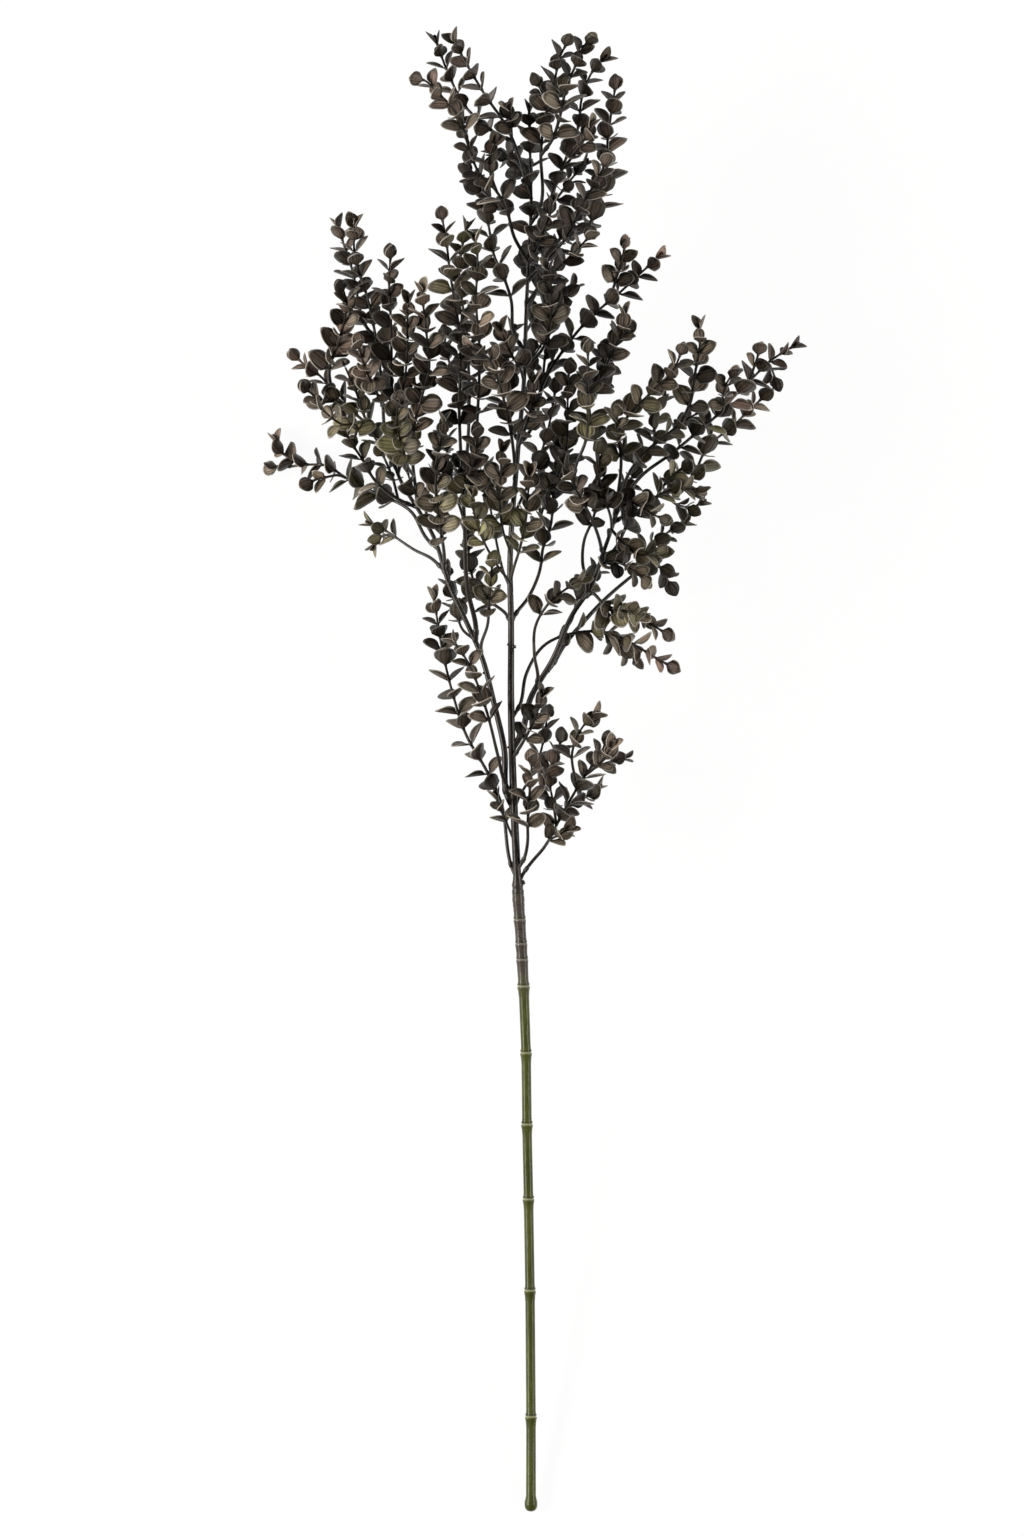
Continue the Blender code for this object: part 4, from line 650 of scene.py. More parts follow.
def smooth_line(points):
    """A smooth curve through the points, sampled at an even step."""
    points = np.array(points, float)
    gaps = np.linalg.norm(np.diff(points, axis=0), axis=1)
    knots = np.concatenate(([0.0], np.cumsum(gaps)))
    slopes = np.gradient(points, knots, axis=0)
    places = np.linspace(0, knots[-1], max(FEWEST_SAMPLES, round(knots[-1] / SAMPLE_STEP)))
    index = np.clip(np.searchsorted(knots, places, side="right") - 1, 0, len(gaps) - 1)
    gap = gaps[index][:, None]
    t = (places[:, None] - knots[index][:, None]) / gap
    start, end = points[index], points[index + 1]
    rise = t * t * (3 - 2 * t)
    leave = t * (1 - t) ** 2
    arrive = t * t * (t - 1)
    return start + (end - start) * rise + (slopes[index] * leave + slopes[index + 1] * arrive) * gap


def lengths_along(line):
    """The distance of each sample from the line's start."""
    return np.concatenate(([0.0], np.cumsum(np.linalg.norm(np.diff(line, axis=0), axis=1))))


def point_at(line, distance):
    """The point at a distance along the line, and the line's direction there."""
    lengths = lengths_along(line)
    distance = min(max(distance, 0.0), lengths[-1])
    point = np.array([np.interp(distance, lengths, line[:, axis]) for axis in range(3)])
    index = min(max(int(np.searchsorted(lengths, distance)), 1), len(line) - 1)
    direction = line[index] - line[index - 1]
    return point, direction / np.linalg.norm(direction)


def cane_line():
    """The cane's axis, which rises evenly from the foot."""
    return smooth_line([(x, y, FOOT_RADIUS + CANE_RISE * y) for x, y in CANE_LINE])


def root_on(parent_line, first):
    """Where a stem leaves its parent's axis: a little below the place next to its route's first point."""
    spread = np.linalg.norm(parent_line[:, :2] - np.array(first), axis=1)
    nearest = int(np.argmin(spread))
    below = ROOT_BELOW + ROOT_BELOW_SHARE * spread[nearest]
    return point_at(parent_line, lengths_along(parent_line)[nearest] - below)[0]


def raised_line(stem, root, sway, lift):
    """The stem's axis: its route in plan, with heights that climb fast at first and then level out."""
    plan = np.array([root[:2], *stem.route], float)
    steps = np.linalg.norm(np.diff(plan, axis=0), axis=1)
    share = np.minimum(np.concatenate(([0.0], np.cumsum(steps))) / steps.sum(), 1.0)
    climb = 1 - (1 - share) ** CLIMB_POWER
    arch = np.sin(math.pi * share)
    heights = root[2] + (stem.tip + lift - root[2]) * climb + (stem.bulge + sway) * arch
    line = smooth_line(np.column_stack([plan, heights]))
    return line[:-TIP_SAMPLES] if stem.bare < 1.0 else line


def distances(points, others):
    """The distance of each point from each other point."""
    return np.linalg.norm(points[:, None, :] - others[None, :, :], axis=2)


def peg_length(line, radii, parent):
    """How many samples run inside or too near the parent, whose node holds them as a peg."""
    apart = distances(line, parent.line)
    parent_radii = parent.radius(np.linspace(0, 1, len(parent.line)))
    gaps = (apart - parent_radii[None, :]).min(axis=1) - radii
    clear = gaps >= PEG_CLEARANCE
    first = int(np.argmax(clear)) if clear.any() else len(line) - 1
    return max(first, SHORTEST_PEG)


class Taken:
    """The samples of the stems that are already placed, with their radii and nodes."""

    def __init__(self):
        self.points = np.zeros((0, 3))
        self.radii = np.zeros(0)
        self.nodes = np.zeros(0, dtype="U24")

    def add(self, points, radii, nodes):
        self.points = np.vstack([self.points, points])
        self.radii = np.concatenate([self.radii, radii])
        self.nodes = np.concatenate([self.nodes, nodes])

    def nearest(self, points, radii, nodes):
        """The smallest gap to a stem of another node."""
        gaps = distances(points, self.points) - radii[:, None] - self.radii[None, :]
        gaps[nodes[:, None] == self.nodes[None, :]] = FAR_AWAY
        return gaps.min()


def trial_offsets():
    """Heights to try, the smallest first: a sway in the stem's middle and a lift at its tip."""
    values = [TRIAL_STEP * k for k in range(-TRIAL_STEPS, TRIAL_STEPS + 1)]
    pairs = [(sway, lift) for sway in values for lift in values]
    return sorted(pairs, key=lambda pair: (abs(pair[0]) + abs(pair[1]), pair))


def place_leader(leader, taken):
    """The leader stands on the cane's top, in line with it."""
    leader.line = raised_line(leader, cane_line()[-1], 0, 0)
    leader.node = leader.name
    radii = leader.radius(np.linspace(0, 1, len(leader.line)))
    taken.add(leader.line, radii, np.full(len(leader.line), leader.node))


def place_stem(stem, parent, taken):
    """Gives the stem its axis, bent clear of every stem of another node."""
    root = root_on(parent.line, stem.route[0])
    stem.node = parent.node if stem.moulded else stem.name
    best = None
    for sway, lift in trial_offsets():
        line = raised_line(stem, root, sway, lift)
        radii = stem.radius(np.linspace(0, 1, len(line)))
        peg = peg_length(line, radii, parent)
        nodes = np.where(np.arange(len(line)) <= peg, parent.node, stem.node)
        gap = taken.nearest(line, radii, nodes)
        low = (line[:, 2] - radii).min()
        score = min(gap, low)
        if best is None or score > best[0]:
            best = (score, line, radii, peg, nodes)
        if score >= STEM_CLEARANCE:
            break
    _, stem.line, radii, stem.peg_end, nodes = best
    taken.add(stem.line, radii, nodes)


def plan_stems():
    """All stems with their axes, by name, parents before the stems that grow from them."""
    waiting = [main_stem(*row) for row in MAIN_STEMS] + [twig(*row) for row in TWIGS]
    waiting += [twig(f"side_{number}", *row) for number, row in enumerate(FILLERS, FIRST_FILLER)]
    stems = {}
    taken = Taken()
    below_top = cane_line()[:-CANE_TOP_SAMPLES]
    taken.add(below_top, np.full(len(below_top), FOOT_RADIUS), np.full(len(below_top), "cane"))
    while waiting:
        stem = next(s for s in waiting if s.parent in stems or s.parent == "cane")
        waiting.remove(stem)
        if stem.parent == "cane":
            place_leader(stem, taken)
        else:
            place_stem(stem, stems[stem.parent], taken)
        stems[stem.name] = stem
    return stems


def level_axes(direction):
    """The level axis across a direction, and the one that stands over both."""
    side = np.cross(direction, (0, 0, 1.0))
    side /= np.linalg.norm(side)
    return side, np.cross(side, direction)


def ring_frame(point, direction):
    """The place of a tube's cross-section: its Z axis runs along the tube, and its X axis is level."""
    side, over = level_axes(direction)
    return Matrix([*np.column_stack([side, -over, direction, point]), (0, 0, 0, 1)])


def tube(stations, sides):
    """A closed tube through its stations, each a point, the tube's direction there and its radius."""
    body = bmesh.new()
    previous = []
    for point, direction, radius in stations:
        place = ring_frame(point, direction)
        bmesh.ops.create_circle(body, segments=sides, radius=radius, matrix=place)
        body.edges.ensure_lookup_table()
        ring = body.edges[-sides:]
        if previous:
            bmesh.ops.bridge_loops(body, edges=previous + ring)
        previous = ring
    bmesh.ops.holes_fill(body, edges=body.edges[:])
    bmesh.ops.recalc_face_normals(body, faces=body.faces[:])
    return body


def bend_places(line, start, end):
    """Distances along the line, near enough together for straight stretches to follow its bends."""
    first, last = point_at(line, start)[0], point_at(line, end)[0]
    chord = (last - first) / (end - start)
    places = np.arange(start + SAMPLE_STEP, end, SAMPLE_STEP)
    strays = [np.linalg.norm(point_at(line, d)[0] - first - chord * (d - start)) for d in places]
    if not len(places) or max(strays) < BEND_TOLERANCE:
        return [start, end]
    middle = places[int(np.argmax(strays))]
    return bend_places(line, start, middle)[:-1] + bend_places(line, middle, end)


def stem_tube(stem, places, sides, grow=0.0):
    """The tube of a stretch of the stem, with a ring at each of the places along its axis."""
    length = lengths_along(stem.line)[-1]
    stations = [(*point_at(stem.line, place), stem.radius(place / length) + grow) for place in places]
    return tube(stations, sides)


def blade(leaf, root, grow=0.0):
    """A thin closed blade from the root. It lies flat where it would reach below the surface."""
    across = np.cross(leaf.along, leaf.face)
    points = [root]
    for reach, half in BLADE_OUTLINE:
        bend = leaf.face * leaf.curl * leaf.length * reach * reach
        middle = leaf.root + leaf.along * reach * (leaf.length + grow) + bend
        side = across * (half * leaf.width + grow)
        points += [middle - side, middle + side]
    lift = leaf.face * (LEAF_THICKNESS / 2 + grow)
    body = bmesh.new()
    for x, y, z in points:
        body.verts.new(Vector((x, y, max(z, abs(lift[2])))) + Vector(lift))
    body.verts.ensure_lookup_table()
    faces = [body.faces.new([body.verts[k] for k in face]) for face in BLADE_FACES]
    lower = bmesh.ops.extrude_face_region(body, geom=faces, use_keep_orig=True)["geom"]
    moved = [item for item in lower if isinstance(item, bmesh.types.BMVert)]
    bmesh.ops.translate(body, verts=moved, vec=-2 * lift)
    bmesh.ops.recalc_face_normals(body, faces=body.faces[:])
    return body


class Room:
    """What a new leaf must not cross: the stems of other nodes, and every leaf placed before it."""

    def __init__(self, stems):
        self.corners, self.faces, self.owners = [], [], []
        self.take("cane", cane_tube(LEAF_MARGIN))
        for stem in stems.values():
            peg = lengths_along(stem.line)[stem.peg_end]
            free = bend_places(stem.line, peg, lengths_along(stem.line)[-1])
            self.take(stem.node, stem_tube(stem, free, STEM_SIDES, LEAF_MARGIN))
            if stem.peg_end:
                holder = stems[stem.parent].node
                self.take(holder, stem_tube(stem, (0, peg), STEM_SIDES, LEAF_MARGIN))
        self.stem_tree = BVHTree.FromPolygons(self.corners, self.faces)
        self.centres = np.zeros((0, 3))
        self.reaches = np.zeros(0)
        self.trees = []

    def take(self, node, body):
        """Adds a stretch of tube to the node's share of the stems."""
        base = len(self.corners)
        body.verts.index_update()
        self.corners += [vert.co.copy() for vert in body.verts]
        self.faces += [[vert.index + base for vert in face.verts] for face in body.faces]
        self.owners += [node] * len(body.faces)
        body.free()

    def fits(self, leaf, node, partner):
        """The leaf's search tree if it is clear of all but its partner across the stem, or nothing."""
        body = blade(leaf, leaf.root, LEAF_MARGIN)
        tree = BVHTree.FromBMesh(body)
        body.free()
        if any(self.owners[hit[1]] != node for hit in tree.overlap(self.stem_tree)):
            return None
        apart = np.linalg.norm(self.centres - leaf.middle(), axis=1)
        near = apart < self.reaches + leaf.length * LEAF_REACH
        if any(k != partner and tree.overlap(self.trees[k]) for k in np.nonzero(near)[0]):
            return None
        return tree

    def add(self, leaf, tree):
        self.centres = np.vstack([self.centres, leaf.middle()])
        self.reaches = np.append(self.reaches, leaf.length * LEAF_REACH)
        self.trees.append(tree)


def spread(draw, width):
    """A number that is at most the width away from nought."""
    return draw.uniform(-width, width)


def try_leaf(stem, distance, turn, size, open_angle, draw, attempt):
    """One trial blade at a place on the stem. Later attempts stray further from the rule."""
    stray = attempt / LEAF_TRIES
    point, direction = point_at(stem.line, distance)
    side, over = level_axes(direction)
    turn += spread(draw, TURN_SPREAD) + spread(draw, TURN_STRAY) * stray
    open_angle += spread(draw, OPEN_SPREAD) + spread(draw, OPEN_STRAY) * stray
    out = math.cos(turn) * side + math.sin(turn) * over
    along = math.cos(open_angle) * direction + math.sin(open_angle) * out
    face = math.sin(open_angle) * direction - math.cos(open_angle) * out
    face[2] += LEAF_TURNS_UP
    face -= along * np.dot(face, along)
    face /= np.linalg.norm(face)
    twist = spread(draw, TWIST_SPREAD) * (1 + stray)
    face = math.cos(twist) * face + math.sin(twist) * np.cross(along, face)
    size *= draw.uniform(*SIZE_SPREAD) * (1 - SIZE_STRAY * stray)
    root = point + out * LEAF_ROOT_DEPTH
    width = size * LEAF_WIDTH * draw.uniform(*WIDTH_SPREAD)
    return Leaf(root, along, face, size, width, draw.uniform(*CURL_RANGE), distance)


def rests_well(leaf):
    """A blade that would reach below the surface is kept only where it can lie flat on it."""
    across = np.cross(leaf.along, leaf.face)
    end = leaf.root + leaf.along * leaf.length + leaf.face * leaf.curl * leaf.length
    lowest = min(end[2], leaf.root[2]) - abs(across[2]) * leaf.width / 2 - LEAF_THICKNESS / 2
    return lowest >= 0 or (abs(leaf.face[2]) > PRESSED_LEVEL and lowest > -PRESSED_DEPTH)


def grow_pair(stem, room, distance, turn, draw, last):
    """Two blades across the stem from each other, each at the first try that has room.

    The stem's last pair is more closed than the others.
    """
    grown = share_grown(stem, distance)
    size = LEAF_AT_TIP + (LEAF_AT_BASE - LEAF_AT_TIP) * grown
    open_angle = OPEN_END_PAIR if last else OPEN_AT_TIP + (OPEN_AT_BASE - OPEN_AT_TIP) * grown
    partner = None
    for half_turn in (0, math.pi):
        for attempt in range(LEAF_TRIES):
            leaf = try_leaf(stem, distance, turn + half_turn, size, open_angle, draw, attempt)
            tree = room.fits(leaf, stem.node, partner) if rests_well(leaf) else None
            if tree is not None:
                partner = len(room.trees)
                room.add(leaf, tree)
                stem.leaves.append(leaf)
                break


def share_grown(stem, distance):
    """Nought at the stem's tip, and one where its leaves have their full size."""
    from_tip = lengths_along(stem.line)[-1] - distance
    return min(1.0, from_tip / LEAF_GROWS_OVER)


def grow_leaves(stem, room):
    """Opposite pairs from the tip down, each turned a quarter from the last."""
    draw = random.Random(f"{SEED} {stem.name}")
    lengths = lengths_along(stem.line)
    lowest = max(stem.bare * lengths[-1], lengths[stem.peg_end] + BARE_PAST_PEG)
    distance = lengths[-1] - BARE_AT_TIP
    start = draw.choice((0, math.pi / 2)) + spread(draw, START_SPREAD)
    pair = 0
    while distance > lowest:
        turn = start + pair * math.pi / 2 + spread(draw, TURN_DRIFT)
        grow_pair(stem, room, distance, turn, draw, pair == 0)
        gap = PAIR_GAP_AT_TIP + (PAIR_GAP_AT_BASE - PAIR_GAP_AT_TIP) * share_grown(stem, distance)
        distance -= gap * draw.uniform(*PAIR_GAP_SPREAD)
        pair += 1


def cane_profile():
    """Distances along the cane with the radius at each: foot, rings with two beads, and the top."""
    profile = list(FOOT_PROFILE)
    for place in RING_PLACES:
        profile += [
            (place - 2 * RING_REACH, CANE_RADIUS),
            (place - RING_REACH, CANE_RADIUS + RING_BEAD),
            (place, CANE_RADIUS + RING_GROOVE),
            (place + RING_REACH, CANE_RADIUS + RING_BEAD),
            (place + 2 * RING_REACH, CANE_RADIUS),
        ]
    return profile + [(CANE_LENGTH, CANE_RADIUS)]


def cane_tube(grow=0.0):
    """The cane's body. Its rings are placed by their distance up the branch."""
    line = cane_line()
    stretch = lengths_along(line)[-1] / CANE_LENGTH
    stations = [(*point_at(line, place * stretch), radius + grow) for place, radius in cane_profile()]
    return tube(stations, CANE_SIDES)


def in_metres(points):
    """Points of the plan as places in the scene."""
    return (np.asarray(points, float) - (MIDDLE_X, MIDDLE_Y, 0.0)) * MM


def choose(*pieces):
    """Selects only these pieces, the first of them as the active one."""
    bpy.ops.object.select_all(action="DESELECT")
    for piece in pieces:
        piece.select_set(True)
    bpy.context.view_layer.objects.active = pieces[0]


def coordinates(mesh):
    """The places of a mesh's corners, one row each."""
    places = np.zeros(len(mesh.vertices) * 3)
    mesh.vertices.foreach_get("co", places)
    return places.reshape(-1, 3)


def apply_modifier(piece, kind, **settings):
    """Gives the piece a modifier with these settings, and applies it."""
    choose(piece)
    modifier = piece.modifiers.new(kind.lower(), kind)
    for name, value in settings.items():
        setattr(modifier, name, value)
    bpy.ops.object.modifier_apply(modifier=modifier.name)


def smooth_share(value):
    """Rises smoothly from nought to one with the value."""
    value = np.clip(value, 0.0, 1.0)
    return value * value * (3 - 2 * value)


def leaf_pattern(name, cup, fold, tip):
    """A leaf one unit long and wide, rooted at the origin with its tip along Y and its upper face up."""
    bpy.ops.object.select_all(action="DESELECT")
    bpy.ops.mesh.primitive_grid_add(x_subdivisions=LEAF_COLUMNS, y_subdivisions=LEAF_ROWS, size=2)
    leaf = bpy.context.object
    leaf.name = name
    leaf.data.uv_layers[0].name = "blade"
    x, y, _ = coordinates(leaf.data).T
    round_x = x * np.sqrt(1 - y * y / 2)
    round_y = y * np.sqrt(1 - x * x / 2)
    along = (round_y + 1) / 2
    opened = ROOT_BREADTH + (1 - ROOT_BREADTH) * smooth_share(along / ROOT_TAPER_ENDS)
    across = round_x / 2 * opened
    middle = 1 - np.abs(x)
    along = along + middle * np.where(y > TIP_ROW, tip, 0.0)
    height = cup * (2 * across) ** 2 + fold * np.abs(across)
    leaf.data.vertices.foreach_set("co", np.column_stack([across, along, height]).ravel())
    apply_modifier(leaf, "SOLIDIFY", thickness=LEAF_SHEET, offset=-1.0)
    mark_faces(leaf.data)
    leaf.data.shade_smooth()
    return leaf


def mark_faces(mesh):
    """Stores which faces of the leaf are its underside, and which are its edge."""
    levels = np.array([face.normal.z for face in mesh.polygons])
    for name, chosen in (("under", levels < -FLAT_LEVEL), ("edge", np.abs(levels) < FLAT_LEVEL)):
        mark = mesh.attributes.new(name, "FLOAT", "FACE")
        mark.data.foreach_set("value", chosen.astype(float))


def set_tone(mesh, tones, wash):
    """Stores each corner's shade, olive share and dusty share, and how much pale dust it has, less where
    painted shade falls.
    """
    tone = mesh.attributes.new("tone", "FLOAT_VECTOR", "POINT")
    tone.data.foreach_set("vector", np.ascontiguousarray(tones, float).ravel())
    dust_with_shade = mesh.attributes.new("wash", "FLOAT", "POINT")
    dust_with_shade.data.foreach_set("value", np.ascontiguousarray(wash, float))


def strength(points, spots):
    """How strongly the spots tint each point, from nought to one."""
    tint = np.zeros(len(points))
    for x, y, reach, amount in spots:
        apart = np.hypot(points[:, 0] - x, points[:, 1] - y)
        tint = np.maximum(tint, amount * np.exp(-((apart / reach) ** 2)))
    return tint


def tones_at(points, shade):
    """The tone of a stem at points of the plan."""
    shades = np.full(len(points), shade)
    return np.column_stack([shades, strength(points, OLIVE_SPOTS), strength(points, DUSTY_SPOTS)])


def out_of_painted_shade(points, crown):
    """How open each point lies to the sky, which sets the painted shade: one where no leaf covers it, and
    less for each that does.
    """
    apart = np.linalg.norm(points[:, None, :2] - crown[None, :, :2], axis=2)
    above = crown[None, :, 2] - points[:, None, 2]
    covers = ((apart < COVER_REACH) & (above > COVER_DEPTH)).sum(axis=1)
    return (1 - COVER_SHADE_SHARE) ** covers


def dusted_and_shaded(points, wash):
    """The pale dust at each point, thicker in the pale and lit spots and thinner in the deep ones, where
    shade is painted.
    """
    # Painted shade: the deep spots take the pale dust away, so the crown's depths come out near black.
    thinned = wash * (1 - strength(points, DEEP_SHADE_SPOTS))
    # Partly painted light: the pale and lit spots add pale dust.
    return np.clip(thinned + PALE_AND_LIT_SPOT_DUSTING * strength(points, PALE_AND_LIT_SPOTS), 0.0, 1.0)


def leaf_tone(leaf, crown, draw):
    """A leaf's own shade, tints and pale dust, which differ from its neighbours', the dust thinned as painted
    shade under other leaves.
    """
    middle = leaf.middle()[None, :]
    _, olive, dusty = tones_at(middle, 0.0)[0]
    shade = draw.random()
    olive = min(1.0, olive * draw.uniform(*TINT_STRENGTHS) + draw.uniform(*STRAY_OLIVE))
    dusty = min(1.0, dusty * draw.uniform(*TINT_STRENGTHS) + draw.uniform(*STRAY_DUSTY))
    wash = LEAST_DUSTING + MOST_DUSTING * draw.random() ** DUSTING_POWER
    # Painted shade: a leaf under others keeps less of its pale dust, so it comes out darker.
    wash *= DEEP_SHADE_DUSTING + (1 - DEEP_SHADE_DUSTING) * out_of_painted_shade(middle, crown)[0]
    wash += TINTED_DUSTING * max(olive, dusty) * draw.random()
    return (shade, olive, dusty), dusted_and_shaded(middle, wash)[0]


def lay_leaf(pattern, leaf, tone, wash):
    """A copy of the pattern with a mesh of its own, laid where the blade is planned."""
    piece = pattern.copy()
    piece.data = pattern.data.copy()
    bpy.context.scene.collection.objects.link(piece)
    x, y, z = coordinates(pattern.data).T
    across = np.cross(leaf.along, leaf.face)
    lift = z * leaf.length + leaf.curl * leaf.length * y * y
    places = leaf.root + np.outer(x * leaf.width * LEAF_BREADTH, across)
    places += np.outer(y * leaf.length, leaf.along) + np.outer(lift, leaf.face)
    normals = np.array([vert.normal.z for vert in pattern.data.vertices])
    lowest = FLOOR_CLEARANCE + np.where(normals * leaf.face[2] > 0, LEAF_SHEET * leaf.length, 0.0)
    places[:, 2] = np.maximum(places[:, 2], lowest)
    piece.data.vertices.foreach_set("co", in_metres(places).ravel())
    set_tone(piece.data, np.tile(tone, (len(places), 1)), np.full(len(places), wash))
    return piece


def bud_leaves(stem, draw):
    """The last, closed pair at a stem's tip, too small for the plan."""
    length = lengths_along(stem.line)[-1]
    point, direction = point_at(stem.line, length)
    side, over = level_axes(direction)
    turn = draw.uniform(0, math.pi)
    leaves = []
    for half_turn in (0, math.pi):
        out = math.cos(turn + half_turn) * side + math.sin(turn + half_turn) * over
        along = math.cos(BUD_OPEN) * direction + math.sin(BUD_OPEN) * out
        face = math.sin(BUD_OPEN) * direction - math.cos(BUD_OPEN) * out
        leaves.append(Leaf(point, along, face, BUD_LENGTH, BUD_WIDTH, BUD_CURL, length))
    return leaves


def round_tube(name, stations, roundness):
    """A round closed tube through the stations, each a point and a radius of the plan."""
    curve = bpy.data.curves.new(name, "CURVE")
    curve.dimensions = "3D"
    curve.bevel_depth = MM
    curve.bevel_resolution = roundness
    curve.use_fill_caps = True
    spline = curve.splines.new("POLY")
    spline.points.add(len(stations) - 1)
    for spot, (point, radius) in zip(spline.points, stations):
        spot.co = (*in_metres(point), 1.0)
        spot.radius = radius
    piece = bpy.data.objects.new(name, curve)
    bpy.context.scene.collection.objects.link(piece)
    choose(piece)
    bpy.ops.object.convert(target="MESH")
    return bpy.context.object


def swelling(distance, joints):
    """How much thicker the stem is here for the nearest pair of leaves."""
    if not len(joints):
        return 0.0
    apart = np.abs(np.asarray(joints) - distance).min() / NODE_REACH
    return NODE_SWELL * float(np.interp(apart, *zip(*NODE_PROFILE)))


def stem_stations(stem, start, end, collar):
    """Points and radii of a stretch of stem, thicker at its leaves and at the collar that it starts with."""
    length = lengths_along(stem.line)[-1]
    joints = sorted({leaf.distance for leaf in stem.leaves})
    places = set(np.arange(start, end, TUBE_STEP)) | {end}
    for joint in joints:
        places |= {joint + share * NODE_REACH for share, _ in NODE_PROFILE}
    if collar:
        places |= {start + COLLAR_LIP, start + COLLAR_LENGTH, start + COLLAR_LENGTH + COLLAR_LIP}
    if stem.name == "leader":
        places |= {place for place, _ in LEADER_COLLAR}
    stations = []
    for place in sorted(p for p in places if start <= p <= end):
        radius = stem.radius(place / length) + swelling(place, joints)
        if stem.name == "leader":
            radius += float(np.interp(place, *zip(*LEADER_COLLAR)))
        if collar:
            inner = min(place - start, start + COLLAR_LENGTH + COLLAR_LIP - place) / COLLAR_LIP
            radius += COLLAR_SWELL * float(smooth_share(inner))
        stations.append((point_at(stem.line, place)[0], radius))
    return stations


def toned_tube(name, stations, roundness, shade, crown):
    """A round tube that stores its tones and its pale dust, thinned as painted shade under the leaves."""
    piece = round_tube(name, stations, roundness)
    places = coordinates(piece.data) / MM + (MIDDLE_X, MIDDLE_Y, 0.0)
    set_tone(piece.data, tones_at(places, shade), dusted_and_shaded(places, out_of_painted_shade(places, crown)))
    return piece


def stem_piece(stem, start, end, collar, shade, crown):
    """A stretch of stem with its tones."""
    roundness = FORK_ROUNDNESS if stem.radii[0] > TWIG_RADII[0] else STEM_ROUNDNESS
    return toned_tube(stem.name, stem_stations(stem, start, end, collar), roundness, shade, crown)


def stubs_on(stem, shade, crown):
    """The short shoots that were cut off the stem, each with a blunt, slightly broader end."""
    pieces = []
    for name, distance, turn, radius, reach in STUBS:
        if name == stem.name:
            point, direction = point_at(stem.line, distance)
            side, over = level_axes(direction)
            out = math.cos(turn) * side + math.sin(turn) * over + direction * STUB_LEAN
            stations = [(point + out * reach * share, radius * girth) for share, girth in STUB_CURVE]
            pieces.append(toned_tube("stub", stations, STEM_ROUNDNESS, shade, crown))
    return pieces


def dress_stem(stem, patterns, start, collar, crown):
    """The stem from its start to its tip, and its leaves with the closed pair at its end."""
    draw = random.Random(f"looks {stem.name}")
    shade = draw.random()
    tubes = [stem_piece(stem, start, lengths_along(stem.line)[-1], collar, shade, crown)]
    tubes += stubs_on(stem, shade, crown)
    leaves = list(stem.leaves)
    if stem.bare < 1.0:
        leaves += bud_leaves(stem, draw)
    return tubes, [lay_leaf(draw.choice(patterns), leaf, *leaf_tone(leaf, crown, draw)) for leaf in leaves]


def dress_node(name, stems, patterns, finishes, crown):
    """The piece that stands for a solid: its stems, its leaves and the pegs of the twigs pushed on it."""
    own = stems[name]
    start = lengths_along(own.line)[own.peg_end] - COLLAR_LENGTH / 2 if own.peg_end else 0.0
    bare, leafy = dress_stem(own, patterns, max(start, 0.0), own.peg_end > 0, crown)
    for stem in stems.values():
        if stem.moulded and stem.node == name:
            tubes, leaves = dress_stem(stem, patterns, 0.0, False, crown)
            bare += tubes
            leafy += leaves
        elif not stem.moulded and stem.parent in stems and stems[stem.parent].node == name:
            peg_end = lengths_along(stem.line)[stem.peg_end]
            bare.append(stem_piece(stem, 0.0, peg_end, False, PEG_SHADE, crown))
    for piece in bare:
        piece.data.materials.append(finishes["stem"])
    for piece in leafy:
        piece.data.materials.append(finishes["leaf"])
    choose(*bare, *leafy)
    bpy.ops.object.join()
    piece = bpy.context.object
    piece.name = f"{name}_dressed"
    return piece


def keep_piece(piece, node):
    """Lets the piece ride on the branch in the place of its solid."""
    bpy.context.scene.view_layers.update()
    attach(piece, "root")
    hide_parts(node)


class Field:
    """A value that varies over a surface. Sums with it add Math nodes."""

    def __init__(self, paint, socket):
        self.paint = paint
        self.socket = socket

    def __add__(self, other):
        return self.paint.maths("ADD", self, other)

    def __radd__(self, other):
        return self.paint.maths("ADD", other, self)

    def __sub__(self, other):
        return self.paint.maths("SUBTRACT", self, other)

    def __rsub__(self, other):
        return self.paint.maths("SUBTRACT", other, self)

    def __mul__(self, other):
        return self.paint.maths("MULTIPLY", self, other)

    def __rmul__(self, other):
        return self.paint.maths("MULTIPLY", other, self)


